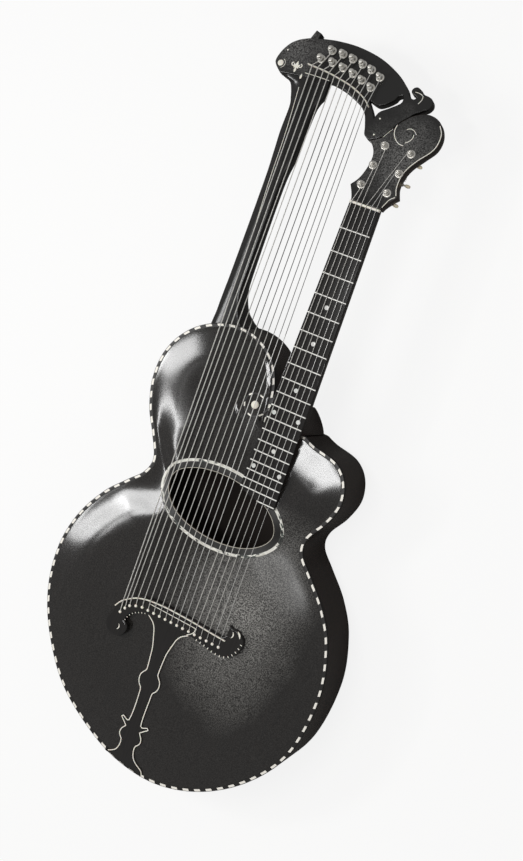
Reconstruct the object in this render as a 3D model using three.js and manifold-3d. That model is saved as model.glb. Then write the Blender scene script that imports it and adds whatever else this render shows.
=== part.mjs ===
// Harp guitar, lying on its back: +Z out of the soundboard, +Y towards the heads, +X the treble side.
// The origin is the middle of the flat crown of the carved back. Lengths are in millimetres.
import * as THREE from 'three';
import { mergeVertices } from 'three/addons/utils/BufferGeometryUtils.js';
import Module from 'manifold-3d';

const wasm = await Module();
wasm.setup();

// Driving dimensions
const SCALE_LENGTH = 692;
const BODY_WIDTH = 518;
const BODY_LENGTH = 749;
const RIM_DEPTH = 100;
const TOP_ARCH = 14;
const BACK_ARCH = 12;
const HEAD_WIDTH = 267;
const HEAD_HEIGHT = 228;
const HEAD_THICK = 16;
const HEAD_PITCH_DEG = 8.5;
const NUT_WIDTH = 49;
const TWELFTH_WIDTH = 61.5;
const CLEARANCE = 0.3;
const OVERRUN = 4;
const WELD = 0.0001;

// Places along and across the instrument
const NECK_X = 53;
const SADDLE_Y_SHARE = -0.16;
const JOINT_Y_SHARE = 0.291;
const SADDLE_Y = BODY_LENGTH * SADDLE_Y_SHARE;
const NUT_Y = SADDLE_Y + SCALE_LENGTH;
const JOINT_Y = BODY_LENGTH * JOINT_Y_SHARE;

// Body plates and rim
const TOP_THICK = 5;
const BACK_THICK = 4.5;
const RIM_WALL = 4;
const LINING_WIDTH = 12;
const LINING_HEIGHT = 14;
const BINDING_WIDTH = 6;
const BACK_EDGE_Z = BACK_ARCH;
const TOP_EDGE_Z = BACK_EDGE_Z + RIM_DEPTH;
const OUTLINE_STEPS = 2;
const LEDGE_SHARE = 0.03;
const PLATEAU_SHARE = 0.36;
const RING_SHARES = [1, 0.9, 0.68, 0.36];
const BRACE_WIDTH = 8;
const BRACE_HEIGHT = 12;
const BRACE_SPREAD = 120;
const BLOCK_DEPTH = 46;
const BLOCK_HALF = 27;
const JOINT_HALF = 35;

// Soundhole and rosette
const HOLE_LENGTH = 198;
const HOLE_WIDTH = 102;
const HOLE_X = -3;
const HOLE_Y = 61;
const HOLE_TURN_DEG = -3;
const ROSETTE_WIDTH = 16;
const ROSETTE_DEPTH = 1.8;
const HOLE_STEPS = 24;

// Neck, fingerboard and nut
const FRET_RISE = 20;
const FRET_TOP_Z = TOP_EDGE_Z + FRET_RISE;
const FRET_HEIGHT = 1;
const FRET_WIDTH = 1.4;
const FRET_PROUD = 0.1;
const BOARD_THICK = 6;
const FRET_COUNT = 20;
const BOARD_OVERHANG = 3;
const BOARD_END_STEPS = 6;
const BOARD_TOP_Z = FRET_TOP_Z - FRET_HEIGHT;
const NECK_TOP_Z = BOARD_TOP_Z - BOARD_THICK - CLEARANCE;
const SHAFT_DEPTH_NUT = 20;
const SHAFT_DEPTH_HEEL = 23;
const SHAFT_SIDE_SHARE = 0.2;
const SHAFT_STEPS = 7;
const NECK_STEPS = 5;
const HEEL_DEPTH = 104;
const HEEL_LENGTH = 62;
const HEEL_FOOT_LENGTH = 20;
const HEEL_FOOT_WIDTH = 34;
const HEEL_SWEEP = 3;
const NUT_LENGTH = 4;
const NUT_RISE = 0.8;

// Heads: both lie in one plane, pitched back about the nut
const FACE_DROP = 4;
const HEAD_PITCH = THREE.MathUtils.degToRad(HEAD_PITCH_DEG);
const FACE_Z = FRET_TOP_Z - FACE_DROP;
const FERRULE_RADIUS = 6.5;
const FERRULE_HEIGHT = 1;
const BASS_NUT_WIDTH = 3;
const BASS_NUT_HEIGHT = 5;
const BASS_NUT_STEPS = 12;
const NECK_HEAD_STEPS = 2;
const HARP_HEAD_STEPS = 2;

// Harp arm
const ARM_WIDTH = 32;
const ARM_BEVEL = 13;
const ARM_BEVEL_DROP = 7;
const ARM_ROUND = 9;

// Bridge, saddle and strap
const BRIDGE_WIDTH = 237;
const BRIDGE_DEPTH = 104;
const BRIDGE_RISE = 2;
const BRIDGE_TOP_Z = FRET_TOP_Z + BRIDGE_RISE;
const SADDLE_WIDTH = 2.6;
const SADDLE_RISE = 2.5;
const SADDLE_SEAT = 2;
const PIN_RADIUS = 2.6;
const PIN_RISE = 3;
const STRAP_LENGTH_SHARE = 0.3445;
const STRAP_LENGTH = BODY_LENGTH * STRAP_LENGTH_SHARE;
const STRAP_THICK = 2.4;
const STRAP_X = -14;
const SADDLE_STEPS = 16;
const BRIDGE_STEPS = 2;
const STRAP_STEPS = 1;
const PIN_SIDES = 4;
const FERRULE_SIDES = 8;

// Strings and their posts
const BASS_COUNT = 12;
const NECK_COUNT = 6;
const BASS_STRING_RADII = [0.9, 0.55];
const NECK_STRING_RADII = [0.65, 0.35];
const NUT_RUN_SHARES = [0.07, 0.97];
const PIN_PITCH = 11.2;
const PIN_ROW_RISE = 2.8;
const NUT_SPAN = 41;
const STRING_SIDES = 4;
const COIL_TURNS = 2;
const COIL_STEPS = 7;
const SADDLE_SEARCH = 90;
const COIL_GAP = 0.5;
const BASS_POST_RADIUS = 2.5;
const BASS_POST_RISE = 15;
const BASS_COIL_RISE = 6;
const BASS_COLLAR = 2;
const BASS_COLLAR_RADIUS = 4;
const BASS_KNOB_RADIUS = 7.5;
const BASS_KNOB_LENGTH = 15;
const BASS_KNOB_SHARES = [[0, 0], [0.8, 0], [1, 0.4]];
const BASS_TOP_SHARES = [[1, 0.85], [1.3, 0.92], [0, 1]];
const PEG_SIDES = 7;
const NECK_POST_RADIUS = 3;
const NECK_POST_RISE = 11;
const NECK_COIL_RISE = 4.5;
const POST_SIDES = 8;
const POST_SLOT = 1;

// Worm tuners behind the neck head
const GEAR_TEETH = 14;
const GEAR_PITCH_RADIUS = 6;
const GEAR_ADDENDUM = 0.7;
const GEAR_DEDENDUM = 1.05;
const GEAR_THICK = 2.4;
const GEAR_NUT = 1.2;
const GEAR_ROOT_SHARE = 0.25;
const GEAR_TIP_SHARE = 0.12;
const HUB_WALL = 1;
const WORM_PITCH_RADIUS = 3;
const WORM_ADDENDUM = 0.7;
const WORM_DEDENDUM = 1.05;
const WORM_PITCH = 2 * Math.PI * GEAR_PITCH_RADIUS / GEAR_TEETH;
const WORM_TURNS = 2.5;
const WORM_STEPS = 8;
const THREAD_ROOT_SHARE = 0.26;
const THREAD_SEAT = 0.25;
const THREAD_TIP_SHARE = 0.09;
const SHAFT_RADIUS = 1.4;
const SHAFT_STUB = 0.8;
const PLATE_THICK = 1.2;
const PLATE_WIDTH = 14;
const PLATE_END = 6;
const EAR_THICK = 1.4;
const EAR_WIDTH = 5.2;
const BUTTON_START = 8;
const BUTTON_LENGTH = 9;
const BUTTON_WIDTH = 9;
const BUTTON_SIDES = 7;
const BUTTON_FLAT_SHARE = 0.62;
const BUTTON_SHARES = [[0, 0], [0.4, 0], [0.9, 0.25], [1, 0.6], [0.7, 0.95], [0, 1]];

// Outlines, in shares of the width and length they follow
const BODY_OUTLINE_SHARES = [
  [0.207, 0.281], [0.284, 0.268], [0.330, 0.238], [0.347, 0.191], [0.326, 0.142], [0.288, 0.097],
  [0.290, 0.063], [0.338, 0.027], [0.407, -0.024], [0.463, -0.091], [0.497, -0.195], [0.475, -0.330],
  [0.388, -0.431], [0.255, -0.507], [0.100, -0.546], [-0.060, -0.541], [-0.205, -0.502],
  [-0.335, -0.440], [-0.440, -0.342], [-0.492, -0.248], [-0.500, -0.155], [-0.470, -0.073],
  [-0.410, -0.002], [-0.345, 0.046], [-0.298, 0.079], [-0.283, 0.115], [-0.315, 0.163],
  [-0.355, 0.214], [-0.378, 0.276], [-0.369, 0.340], [-0.326, 0.393], [-0.259, 0.430],
  [-0.170, 0.450], [-0.085, 0.443], [-0.015, 0.410], [0.023, 0.358],
];
const HARP_INNER_SHARES = [
  [-0.135, 0.426], [-0.173, 0.449], [-0.191, 0.502], [-0.221, 0.577], [-0.264, 0.624],
  [-0.332, 0.665], [-0.406, 0.696], [-0.471, 0.712], [-0.498, 0.714],
];
const HARP_OUTER_SHARES = [
  [-0.816, 0.679], [-0.858, 0.723], [-0.869, 0.758], [-0.854, 0.825], [-0.820, 0.889],
  [-0.772, 0.931], [-0.717, 0.958],
];
const HARP_FOOT_SHARES = [[-0.699, 1.020], [-0.662, 1.007], [-0.667, 0.971]];
const HARP_ARC_SHARES = [
  [-0.554, 0.991], [-0.412, 0.993], [-0.262, 0.962], [-0.135, 0.900], [-0.054, 0.834], [-0.021, 0.787],
];
const HARP_NOTCH_SHARES = [[-0.001, 0.769], [0.017, 0.767], [0.029, 0.783]];
const HARP_CURL_SHARES = [
  [0.010, 0.793], [-0.009, 0.802], [-0.016, 0.818], [-0.009, 0.838], [0.011, 0.849], [0.041, 0.835],
  [0.064, 0.816], [0.093, 0.811], [0.118, 0.798], [0.130, 0.765], [0.118, 0.730], [0.089, 0.707],
  [0.052, 0.675], [0.032, 0.644],
];
const HEAD_SEAM_SHARES = [[0.032, 0.644], [-0.013, 0.581], [-0.060, 0.481], [-0.135, 0.426]];
const WINDOW_SHARES = [
  [[-0.230, 0.678], [-0.186, 0.616], [-0.160, 0.571]],
  [[-0.144, 0.622], [-0.097, 0.666], [-0.048, 0.715], [-0.043, 0.750], [-0.051, 0.770]],
  [[-0.075, 0.755], [-0.087, 0.726], [-0.124, 0.685], [-0.169, 0.659], [-0.230, 0.678]],
];
const NECK_HEAD_LEFT_SHARES = [
  [-0.134, 0.115], [-0.099, 0.177], [-0.079, 0.262], [-0.078, 0.341], [-0.102, 0.397], [-0.135, 0.426],
];
const NECK_LOBE_SHARES = [
  [0.032, 0.644], [0.064, 0.672], [0.120, 0.699], [0.180, 0.693], [0.228, 0.656], [0.257, 0.585],
  [0.251, 0.501], [0.206, 0.421], [0.161, 0.346], [0.137, 0.271], [0.135, 0.195], [0.159, 0.126],
];
const NECK_THROAT_SHARES = [0.094, 0.020];
const NECK_EAR_SHARES = [0.103, 0.060];
const BASS_NUT_SHARES = [
  [-0.661, 0.783], [-0.531, 0.768], [-0.422, 0.744], [-0.357, 0.725], [-0.301, 0.700],
  [-0.247, 0.665], [-0.212, 0.628],
];
const INNER_PEG_SHARES = [
  [-0.599, 0.843], [-0.523, 0.840], [-0.451, 0.827], [-0.381, 0.809], [-0.315, 0.785], [-0.248, 0.756],
];
const OUTER_PEG_SHARES = [
  [-0.555, 0.916], [-0.484, 0.914], [-0.416, 0.902], [-0.348, 0.887], [-0.285, 0.869], [-0.220, 0.837],
];
const ARM_FOOT_SHARE = 0.4;
const ARM_FOOT_X_SHARE = -0.224;
const ARM_HEAD_X_SHARE = -0.633;
const ARM_SHARES = [
  [0, 0.62, 1.6, 0.86], [0.075, 0.56, 1.3, 0.86], [0.105, 0.53, 1.0, 0.72], [0.14, 0.52, 0.75, 0.54],
  [0.2, 0.5, 0.53, 0.44], [0.28, 0.48, 0.5, 0.38], [0.6, 0.47, 0.52, 0.32], [0.71, 0.52, 0.69, 0.3],
  [0.79, 0.57, 0.74, 0.28], [0.88, 0.55, 0.82, 0.26], [0.915, 0.66, 0.92, 0.25], [0.94, 0.78, 1.1, 0.24],
  [0.963, 0.97, 1.12, 0.24], [0.985, 1.53, 1.12, 0.24], [1.06, 1.53, 1.12, 0.24],
];
const SADDLE_SHARES = [
  [-0.468, -0.375], [-0.447, -0.298], [-0.414, -0.221], [-0.344, -0.118], [-0.281, -0.069],
  [-0.214, -0.043], [-0.099, -0.026], [0.017, -0.028], [0.135, -0.038], [0.253, -0.054], [0.372, -0.066],
];
const BRIDGE_SHARES = [
  [
    [-0.482, -0.47], [-0.475, -0.36], [-0.452, -0.26], [-0.41, -0.185], [-0.344, -0.085], [-0.214, -0.012],
    [-0.099, 0.004], [0.017, 0.002], [0.135, -0.008], [0.253, -0.024], [0.34, -0.03],
  ],
  [[0.362, 0.03], [0.365, 0.183]],
  [
    [0.391, 0.163], [0.429, 0.158], [0.468, 0.105], [0.493, 0.038], [0.492, -0.077], [0.468, -0.198],
    [0.425, -0.288], [0.371, -0.325], [0.311, -0.328], [0.247, -0.311], [0.196, -0.279], [0.134, -0.269],
  ],
  [[-0.232, -0.269]],
  [[-0.3, -0.305], [-0.343, -0.381], [-0.363, -0.45], [-0.373, -0.531]],
  [
    [-0.347, -0.568], [-0.332, -0.635], [-0.345, -0.741], [-0.381, -0.814], [-0.435, -0.833],
    [-0.475, -0.792], [-0.5, -0.719], [-0.507, -0.627], [-0.482, -0.47],
  ],
];
const STRAP_TOP_SHARES = [0, -0.269];
const STRAP_SHARES = [
  [
    [0.145, 0], [0.105, 0.026], [0.08, 0.06], [0.064, 0.11], [0.046, 0.18], [0.04, 0.24], [0.035, 0.32],
    [0.039, 0.345], [0.063, 0.38], [0.067, 0.412], [0.058, 0.44], [0.038, 0.468], [0.034, 0.525],
    [0.032, 0.59], [0.033, 0.66], [0.039, 0.705],
  ],
  [[0.06, 0.712], [0.097, 0.695]],
  [
    [0.062, 0.725], [0.047, 0.745], [0.069, 0.78], [0.07, 0.81], [0.048, 0.84], [0.047, 0.885],
    [0.064, 0.93], [0.097, 0.958], [0.14, 0.985], [0.15, 1.04],
  ],
];
const BASS_PIN_SHARES = [[-0.418, -0.433], [-0.393, -0.342], [-0.365, -0.271], [-0.321, -0.227]];
const TUNER_FIRST_SHARES = [0.009, 0.134];
const TUNER_LAST_SHARES = [0.049, 0.422];
const TUNER_SPREAD = 43;

const wood = (color, roughness) => new THREE.MeshStandardMaterial({ color, roughness, metalness: 0 });
const metal = (color) => new THREE.MeshStandardMaterial({ color, roughness: 0.3, metalness: 1 });
const LACQUER = wood(0x15110f, 0.18);
const MAHOGANY = wood(0x1c1513, 0.25);
const SPRUCE = wood(0x17120f, 0.18);
const PALE_WOOD = wood(0xb08d5f, 0.7);
const EBONY = wood(0x1b1917, 0.45);
const IVORY = wood(0xe9e2cc, 0.4);
const PEARL = wood(0xd9d6cc, 0.3);
const NICKEL = metal(0xc9c7c0);
const STEEL = metal(0xd4d4d2);
const group = new THREE.Group();

// Names a mesh and adds it to the instrument
function addPiece(name, geometry, material) {
  const mesh = new THREE.Mesh(geometry, material);
  mesh.name = name;
  group.add(mesh);
}

// A closed geometry as a solid for joining and cutting
function solidOf(geometry) {
  const bare = geometry.clone();
  bare.deleteAttribute('normal');
  bare.deleteAttribute('uv');
  const merged = mergeVertices(bare, WELD);
  const vertProperties = new Float32Array(merged.attributes.position.array);
  const triVerts = new Uint32Array(merged.index.array);
  return new wasm.Manifold(new wasm.Mesh({ numProp: 3, vertProperties, triVerts }));
}

// The solid's surface as a geometry
function geometryOf(solid) {
  const mesh = solid.getMesh();
  const geometry = new THREE.BufferGeometry();
  geometry.setAttribute('position', new THREE.BufferAttribute(new Float32Array(mesh.vertProperties), 3));
  geometry.setIndex(new THREE.BufferAttribute(new Uint32Array(mesh.triVerts), 1));
  geometry.computeVertexNormals();
  return geometry;
}

// A geometry from a flat list of points and one of corner numbers
function geometryFrom(points, faces) {
  const geometry = new THREE.BufferGeometry();
  geometry.setAttribute('position', new THREE.Float32BufferAttribute(points, 3));
  geometry.setIndex(faces);
  geometry.computeVertexNormals();
  return geometry;
}

const smooth = (t) => THREE.MathUtils.smoothstep(t, 0, 1);
const placed = (table, width, height, x, y) => (
  table.map(([u, v]) => new THREE.Vector2(x + u * width, y + v * height)));
const inHead = (table) => placed(table, HEAD_WIDTH, HEAD_HEIGHT, NECK_X, 0);
const headMatrix = new THREE.Matrix4().makeRotationX(-HEAD_PITCH).setPosition(0, NUT_Y, FACE_Z);
const fromHead = (x, y, z) => new THREE.Vector3(x, y, z).applyMatrix4(headMatrix);

// The body outline, counter-clockwise, with a flat at the neck joint
function bodyOutline() {
  const inner = placed(BODY_OUTLINE_SHARES, BODY_WIDTH, BODY_LENGTH, 0, 0);
  const first = new THREE.Vector2(NECK_X + JOINT_HALF, JOINT_Y);
  const last = new THREE.Vector2(NECK_X - JOINT_HALF, JOINT_Y);
  const curve = new THREE.SplineCurve([last, ...inner.reverse(), first]);
  return curve.getPoints((curve.points.length - 1) * OUTLINE_STEPS);
}

// Moves every corner of a closed outline inwards by a distance, along its mitre
function insetLoop(loop, distance) {
  return loop.map((point, i) => {
    const before = loop[(i + loop.length - 1) % loop.length];
    const after = loop[(i + 1) % loop.length];
    const a = point.clone().sub(before).normalize();
    const b = after.clone().sub(point).normalize();
    const normals = new THREE.Vector2(-a.y - b.y, a.x + b.x);
    const scale = distance / (1 + a.dot(b));
    return point.clone().addScaledVector(normals, scale);
  });
}

// A ring solid: a closed profile of (inset, height) pairs swept along the outline
function bandSolid(loop, profile) {
  const rings = profile.map(([inset, z]) => insetLoop(loop, inset).map((p) => [p.x, p.y, z]));
  const count = loop.length;
  const faces = [];
  for (let r = 0; r < rings.length; r += 1) {
    const s = (r + 1) % rings.length;
    for (let i = 0; i < count; i += 1) {
      const j = (i + 1) % count;
      faces.push(r * count + i, s * count + j, r * count + j);
      faces.push(r * count + i, s * count + i, s * count + j);
    }
  }
  return geometryFrom(rings.flat(2), faces);
}

// A plate solid over the outline; its upper and lower heights are functions of the share of the way out
function plateSolid(loop, top, bottom) {
  const count = loop.length;
  const points = [];
  for (const height of [top, bottom]) {
    for (const share of RING_SHARES) {
      for (const p of loop) {
        points.push(p.x * share, p.y * share, height(share));
      }
    }
    points.push(0, 0, height(0));
  }
  const layer = RING_SHARES.length * count + 1;
  const faces = [];
  for (let side = 0; side < 2; side += 1) {
    const base = side * layer;
    const turn = (a, b, c) => faces.push(base + a, base + (side ? c : b), base + (side ? b : c));
    for (let i = 0; i < count; i += 1) {
      const j = (i + 1) % count;
      for (let r = 0; r + 1 < RING_SHARES.length; r += 1) {
        turn(r * count + i, r * count + j, (r + 1) * count + j);
        turn(r * count + i, (r + 1) * count + j, (r + 1) * count + i);
      }
      const inner = (RING_SHARES.length - 1) * count;
      turn(inner + i, inner + j, layer - 1);
    }
  }
  for (let i = 0; i < count; i += 1) {
    const j = (i + 1) % count;
    faces.push(i, layer + i, layer + j, i, layer + j, j);
  }
  return solidOf(geometryFrom(points, faces));
}

// An upright prism over a closed outline
function prism(loop, low, high) {
  const shape = new THREE.Shape(loop);
  const geometry = new THREE.ExtrudeGeometry(shape, { depth: high - low, bevelEnabled: false });
  return solidOf(geometry.translate(0, 0, low));
}

// A straight box between two corners
function boxSolid(low, high) {
  const size = high.map((value, i) => value - low[i]);
  const centre = high.map((value, i) => (value + low[i]) / 2);
  return solidOf(new THREE.BoxGeometry(...size).translate(...centre));
}

// A loft through closed sections that all have the same number of points and are convex
function loft(sections) {
  const count = sections[0].length;
  const points = sections.flatMap((section) => section.flatMap((p) => [p.x, p.y, p.z]));
  const faces = [];
  for (let r = 0; r + 1 < sections.length; r += 1) {
    for (let i = 0; i < count; i += 1) {
      const j = (i + 1) % count;
      faces.push(r * count + i, r * count + j, (r + 1) * count + j);
      faces.push(r * count + i, (r + 1) * count + j, (r + 1) * count + i);
    }
  }
  const end = (sections.length - 1) * count;
  for (let i = 1; i + 1 < count; i += 1) {
    faces.push(0, i + 1, i);
    faces.push(end, end + i, end + i + 1);
  }
  return geometryFrom(points, faces);
}

// The inside of a loft may come out turned: this turns it right side out
function facingOut(geometry) {
  const position = geometry.attributes.position;
  const index = geometry.index.array;
  let volume = 0;
  const [a, b, c] = [new THREE.Vector3(), new THREE.Vector3(), new THREE.Vector3()];
  for (let i = 0; i < index.length; i += 3) {
    a.fromBufferAttribute(position, index[i]);
    b.fromBufferAttribute(position, index[i + 1]);
    c.fromBufferAttribute(position, index[i + 2]);
    volume += a.dot(b.cross(c));
  }
  if (volume < 0) {
    const turned = Array.from(index);
    for (let i = 0; i < turned.length; i += 3) {
      [turned[i + 1], turned[i + 2]] = [turned[i + 2], turned[i + 1]];
    }
    geometry.setIndex(turned);
    geometry.computeVertexNormals();
  }
  return geometry;
}

// A round wire along points: one closed tube with flat ends
function wire(path, radius, sides) {
  const sections = [];
  let normal = new THREE.Vector3(0, 0, 1);
  path.forEach((point, k) => {
    const before = path[Math.max(k - 1, 0)];
    const after = path[Math.min(k + 1, path.length - 1)];
    const tangent = after.clone().sub(before).normalize();
    normal = normal.clone().addScaledVector(tangent, -normal.dot(tangent)).normalize();
    const side = tangent.clone().cross(normal);
    const section = [];
    for (let i = 0; i < sides; i += 1) {
      const angle = 2 * Math.PI * i / sides;
      const offset = normal.clone().multiplyScalar(radius * Math.cos(angle));
      section.push(point.clone().add(offset).addScaledVector(side, radius * Math.sin(angle)));
    }
    sections.push(section);
  });
  return facingOut(loft(sections));
}

// A turned piece about the Z axis, from (radius, height) pairs that start and end on the axis
function turned(profile, steps) {
  const points = profile.map(([radius, height]) => new THREE.Vector2(radius, height));
  return new THREE.LatheGeometry(points, steps).rotateX(Math.PI / 2);
}

// A round rod along Z
function rod(radius, low, high, steps) {
  const geometry = new THREE.CylinderGeometry(radius, radius, high - low, steps);
  return solidOf(geometry.rotateX(Math.PI / 2).translate(0, 0, (high + low) / 2));
}

const outline = bodyOutline();
const archShare = (share) => smooth((1 - LEDGE_SHARE - share) / (1 - LEDGE_SHARE - PLATEAU_SHARE));
const topHeight = (share) => TOP_EDGE_Z + TOP_ARCH * archShare(share);
const backHeight = (share) => BACK_EDGE_Z * (1 - archShare(share));
const topLoop = insetLoop(outline, BINDING_WIDTH + CLEARANCE);
const crown = TOP_EDGE_Z + TOP_ARCH;
const insideLinings = prism(insetLoop(outline, LINING_WIDTH + OVERRUN), 0, crown);
const topRoom = plateSolid(topLoop, (share) => topHeight(share) + CLEARANCE, () => BACK_EDGE_Z);
const backRoom = plateSolid(
  outline,
  (share) => backHeight(share) + BACK_THICK + CLEARANCE,
  () => -BACK_EDGE_Z,
);

// An upright oval prism for the soundhole, grown by a distance
function holePrism(grow, low, high) {
  const shape = new THREE.Shape();
  const turn = THREE.MathUtils.degToRad(HOLE_TURN_DEG);
  const [halfLength, halfWidth] = [HOLE_LENGTH / 2 + grow, HOLE_WIDTH / 2 + grow];
  shape.absellipse(HOLE_X, HOLE_Y, halfLength, halfWidth, 0, 2 * Math.PI, false, turn);
  return prism(shape.getSpacedPoints(HOLE_STEPS).slice(0, HOLE_STEPS), low, high);
}

// Soundboard with its hole, the rebate for the rosette and two long braces on its underside
function makeSoundboard() {
  const board = plateSolid(topLoop, topHeight, (share) => topHeight(share) - TOP_THICK);
  const aboveRosette = plateSolid(
    topLoop,
    () => crown + OVERRUN,
    (share) => topHeight(share) - ROSETTE_DEPTH - CLEARANCE,
  );
  const rebate = holePrism(ROSETTE_WIDTH + CLEARANCE, 0, crown + OVERRUN).intersect(aboveRosette);
  const bracing = plateSolid(
    topLoop,
    (share) => topHeight(share) - TOP_THICK / 2,
    (share) => topHeight(share) - TOP_THICK - BRACE_HEIGHT,
  ).intersect(insideLinings);
  let braces = null;
  for (const side of [-1, 1]) {
    const x = side * BRACE_SPREAD;
    const low = [x - BRACE_WIDTH / 2, -BODY_LENGTH, 0];
    const brace = boxSolid(low, [x + BRACE_WIDTH / 2, BODY_LENGTH, FRET_TOP_Z]).intersect(bracing);
    braces = braces ? braces.add(brace) : brace;
  }
  return board.add(braces).subtract(rebate).subtract(holePrism(0, 0, crown + OVERRUN));
}

// Rosette ring, flush in its rebate
function makeRosette() {
  const skin = plateSolid(topLoop, topHeight, (share) => topHeight(share) - ROSETTE_DEPTH);
  const ring = holePrism(ROSETTE_WIDTH, 0, crown + OVERRUN).subtract(holePrism(0, 0, crown + OVERRUN));
  return ring.intersect(skin);
}

// Back plate with one cross brace in each bout
function makeBack() {
  const plate = plateSolid(outline, (share) => backHeight(share) + BACK_THICK, backHeight);
  const bracing = plateSolid(
    outline,
    (share) => backHeight(share) + BACK_THICK + BRACE_HEIGHT,
    (share) => backHeight(share) + BACK_THICK / 2,
  ).intersect(insideLinings);
  let solid = plate;
  for (const side of [-1, 1]) {
    const y = side * BRACE_SPREAD;
    const low = [-BODY_WIDTH, y - BRACE_WIDTH / 2, 0];
    const bar = boxSolid(low, [BODY_WIDTH, y + BRACE_WIDTH / 2, TOP_EDGE_Z]);
    solid = solid.add(bar.intersect(bracing));
  }
  return solid;
}

// The room for the neck block and for the tail block, grown sideways by a distance
function blockRooms(grow) {
  const neckLow = [NECK_X - BLOCK_HALF - grow, JOINT_Y - BLOCK_DEPTH - grow, 0];
  const tailHigh = [STRAP_X + BLOCK_HALF + grow, (BLOCK_DEPTH - BODY_LENGTH) / 2 + grow, crown];
  return {
    neck: boxSolid(neckLow, [NECK_X + BLOCK_HALF + grow, JOINT_Y, crown]),
    tail: boxSolid([STRAP_X - BLOCK_HALF - grow, -BODY_LENGTH, 0], tailHigh),
  };
}

// Rim: the bent ribs with the linings at both edges, cut away at the two blocks
function makeRim() {
  const low = BACK_EDGE_Z + BACK_THICK + CLEARANCE;
  const high = TOP_EDGE_Z - TOP_THICK - CLEARANCE;
  const profile = [
    [0, low], [0, high], [LINING_WIDTH, high], [RIM_WALL, high - LINING_HEIGHT],
    [RIM_WALL, low + LINING_HEIGHT], [LINING_WIDTH, low],
  ];
  const inside = prism(insetLoop(outline, RIM_WALL), 0, crown);
  const { neck, tail } = blockRooms(CLEARANCE);
  return solidOf(facingOut(bandSolid(outline, profile))).subtract(neck.add(tail).intersect(inside));
}

// A block between back and soundboard, shaped to the inside of the rim
function makeBlock(room) {
  const under = (share) => topHeight(share) - TOP_THICK - CLEARANCE;
  const underEdge = prism(insetLoop(outline, RIM_WALL + CLEARANCE), 0, TOP_EDGE_Z - TOP_THICK - CLEARANCE);
  const underTop = plateSolid(topLoop, under, () => BACK_EDGE_Z);
  return room.intersect(underEdge.add(underTop)).subtract(backRoom);
}

// Striped binding strip let into the top edge
function makeBinding() {
  const profile = [
    [0, TOP_EDGE_Z - TOP_THICK], [0, TOP_EDGE_Z], [BINDING_WIDTH, TOP_EDGE_Z],
    [BINDING_WIDTH, TOP_EDGE_Z - TOP_THICK],
  ];
  return facingOut(bandSolid(outline, profile));
}

const fretY = (n) => SADDLE_Y + SCALE_LENGTH * 2 ** (-n / 12);
const boardHalf = (y) => (NUT_WIDTH + (TWELFTH_WIDTH - NUT_WIDTH) * 2 * (NUT_Y - y) / SCALE_LENGTH) / 2;

// The fingerboard's outline from the nut to its curved end, where the last fret is short
function boardLoop(front) {
  const left = fretY(FRET_COUNT - 1) - BOARD_OVERHANG;
  const right = fretY(FRET_COUNT) - BOARD_OVERHANG;
  const end = new THREE.QuadraticBezierCurve(
    new THREE.Vector2(NECK_X - boardHalf(left), left),
    new THREE.Vector2(NECK_X, right),
    new THREE.Vector2(NECK_X + boardHalf(right), right),
  );
  const head = [1, -1].map((side) => new THREE.Vector2(NECK_X + side * boardHalf(front), front));
  return [...head, ...end.getPoints(BOARD_END_STEPS)];
}

// Fingerboard with its frets, each a bar let through the board and a hair proud of its sides
function makeFingerboard() {
  const loop = boardLoop(NUT_Y - CLEARANCE);
  const floor = BOARD_TOP_Z - BOARD_THICK;
  let solid = prism(loop, floor, BOARD_TOP_Z);
  const room = prism(insetLoop(loop, -FRET_PROUD), floor - FRET_PROUD, FRET_TOP_Z);
  for (let n = 1; n <= FRET_COUNT; n += 1) {
    const y = fretY(n);
    const low = [NECK_X - TWELFTH_WIDTH, y - FRET_WIDTH / 2, 0];
    const bar = boxSolid(low, [NECK_X + TWELFTH_WIDTH, y + FRET_WIDTH / 2, crown * 2]);
    solid = solid.add(bar.intersect(room));
  }
  return solid;
}

// One cross-section of the neck shaft: flat under the fingerboard, round behind
function shaftSection(y, half, depth) {
  const section = [[NECK_X + half, NECK_TOP_Z], [NECK_X - half, NECK_TOP_Z]];
  for (let i = 0; i <= SHAFT_STEPS; i += 1) {
    const angle = Math.PI * i / SHAFT_STEPS;
    const share = THREE.MathUtils.lerp(SHAFT_SIDE_SHARE, 1, Math.sin(angle));
    section.push([NECK_X - half * Math.cos(angle), NECK_TOP_Z - depth * share]);
  }
  return section.map(([x, z]) => new THREE.Vector3(x, y, z));
}

// The heel in plan at one height: flat at the body, round in front
function heelSection(z, half, length) {
  const back = JOINT_Y + CLEARANCE;
  const section = [];
  for (let i = 0; i <= SHAFT_STEPS; i += 1) {
    const angle = Math.PI * i / SHAFT_STEPS;
    section.push(new THREE.Vector3(NECK_X + half * Math.cos(angle), back + length * Math.sin(angle), z));
  }
  return section;
}

// The neck head in its own plane
function neckHeadShape() {
  const shape = new THREE.Shape();
  const [throatX, throatY] = NECK_THROAT_SHARES;
  const [earX, earY] = NECK_EAR_SHARES;
  const [rightFoot, leftFoot] = inHead([[throatX, throatY], [-throatX, throatY]]);
  const [rightBend, leftBend] = inHead([[earX, earY], [-earX, earY]]);
  const left = inHead(NECK_HEAD_LEFT_SHARES);
  const seam = inHead(HEAD_SEAM_SHARES);
  const lobe = inHead(NECK_LOBE_SHARES);
  shape.moveTo(rightFoot.x, rightFoot.y);
  shape.quadraticCurveTo(rightBend.x, rightBend.y, lobe.at(-1).x, lobe.at(-1).y);
  shape.splineThru(lobe.slice(0, -1).reverse());
  shape.splineThru(seam.slice(1));
  shape.splineThru(left.slice(0, -1).reverse());
  shape.quadraticCurveTo(leftBend.x, leftBend.y, leftFoot.x, leftFoot.y);
  return shape;
}

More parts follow.
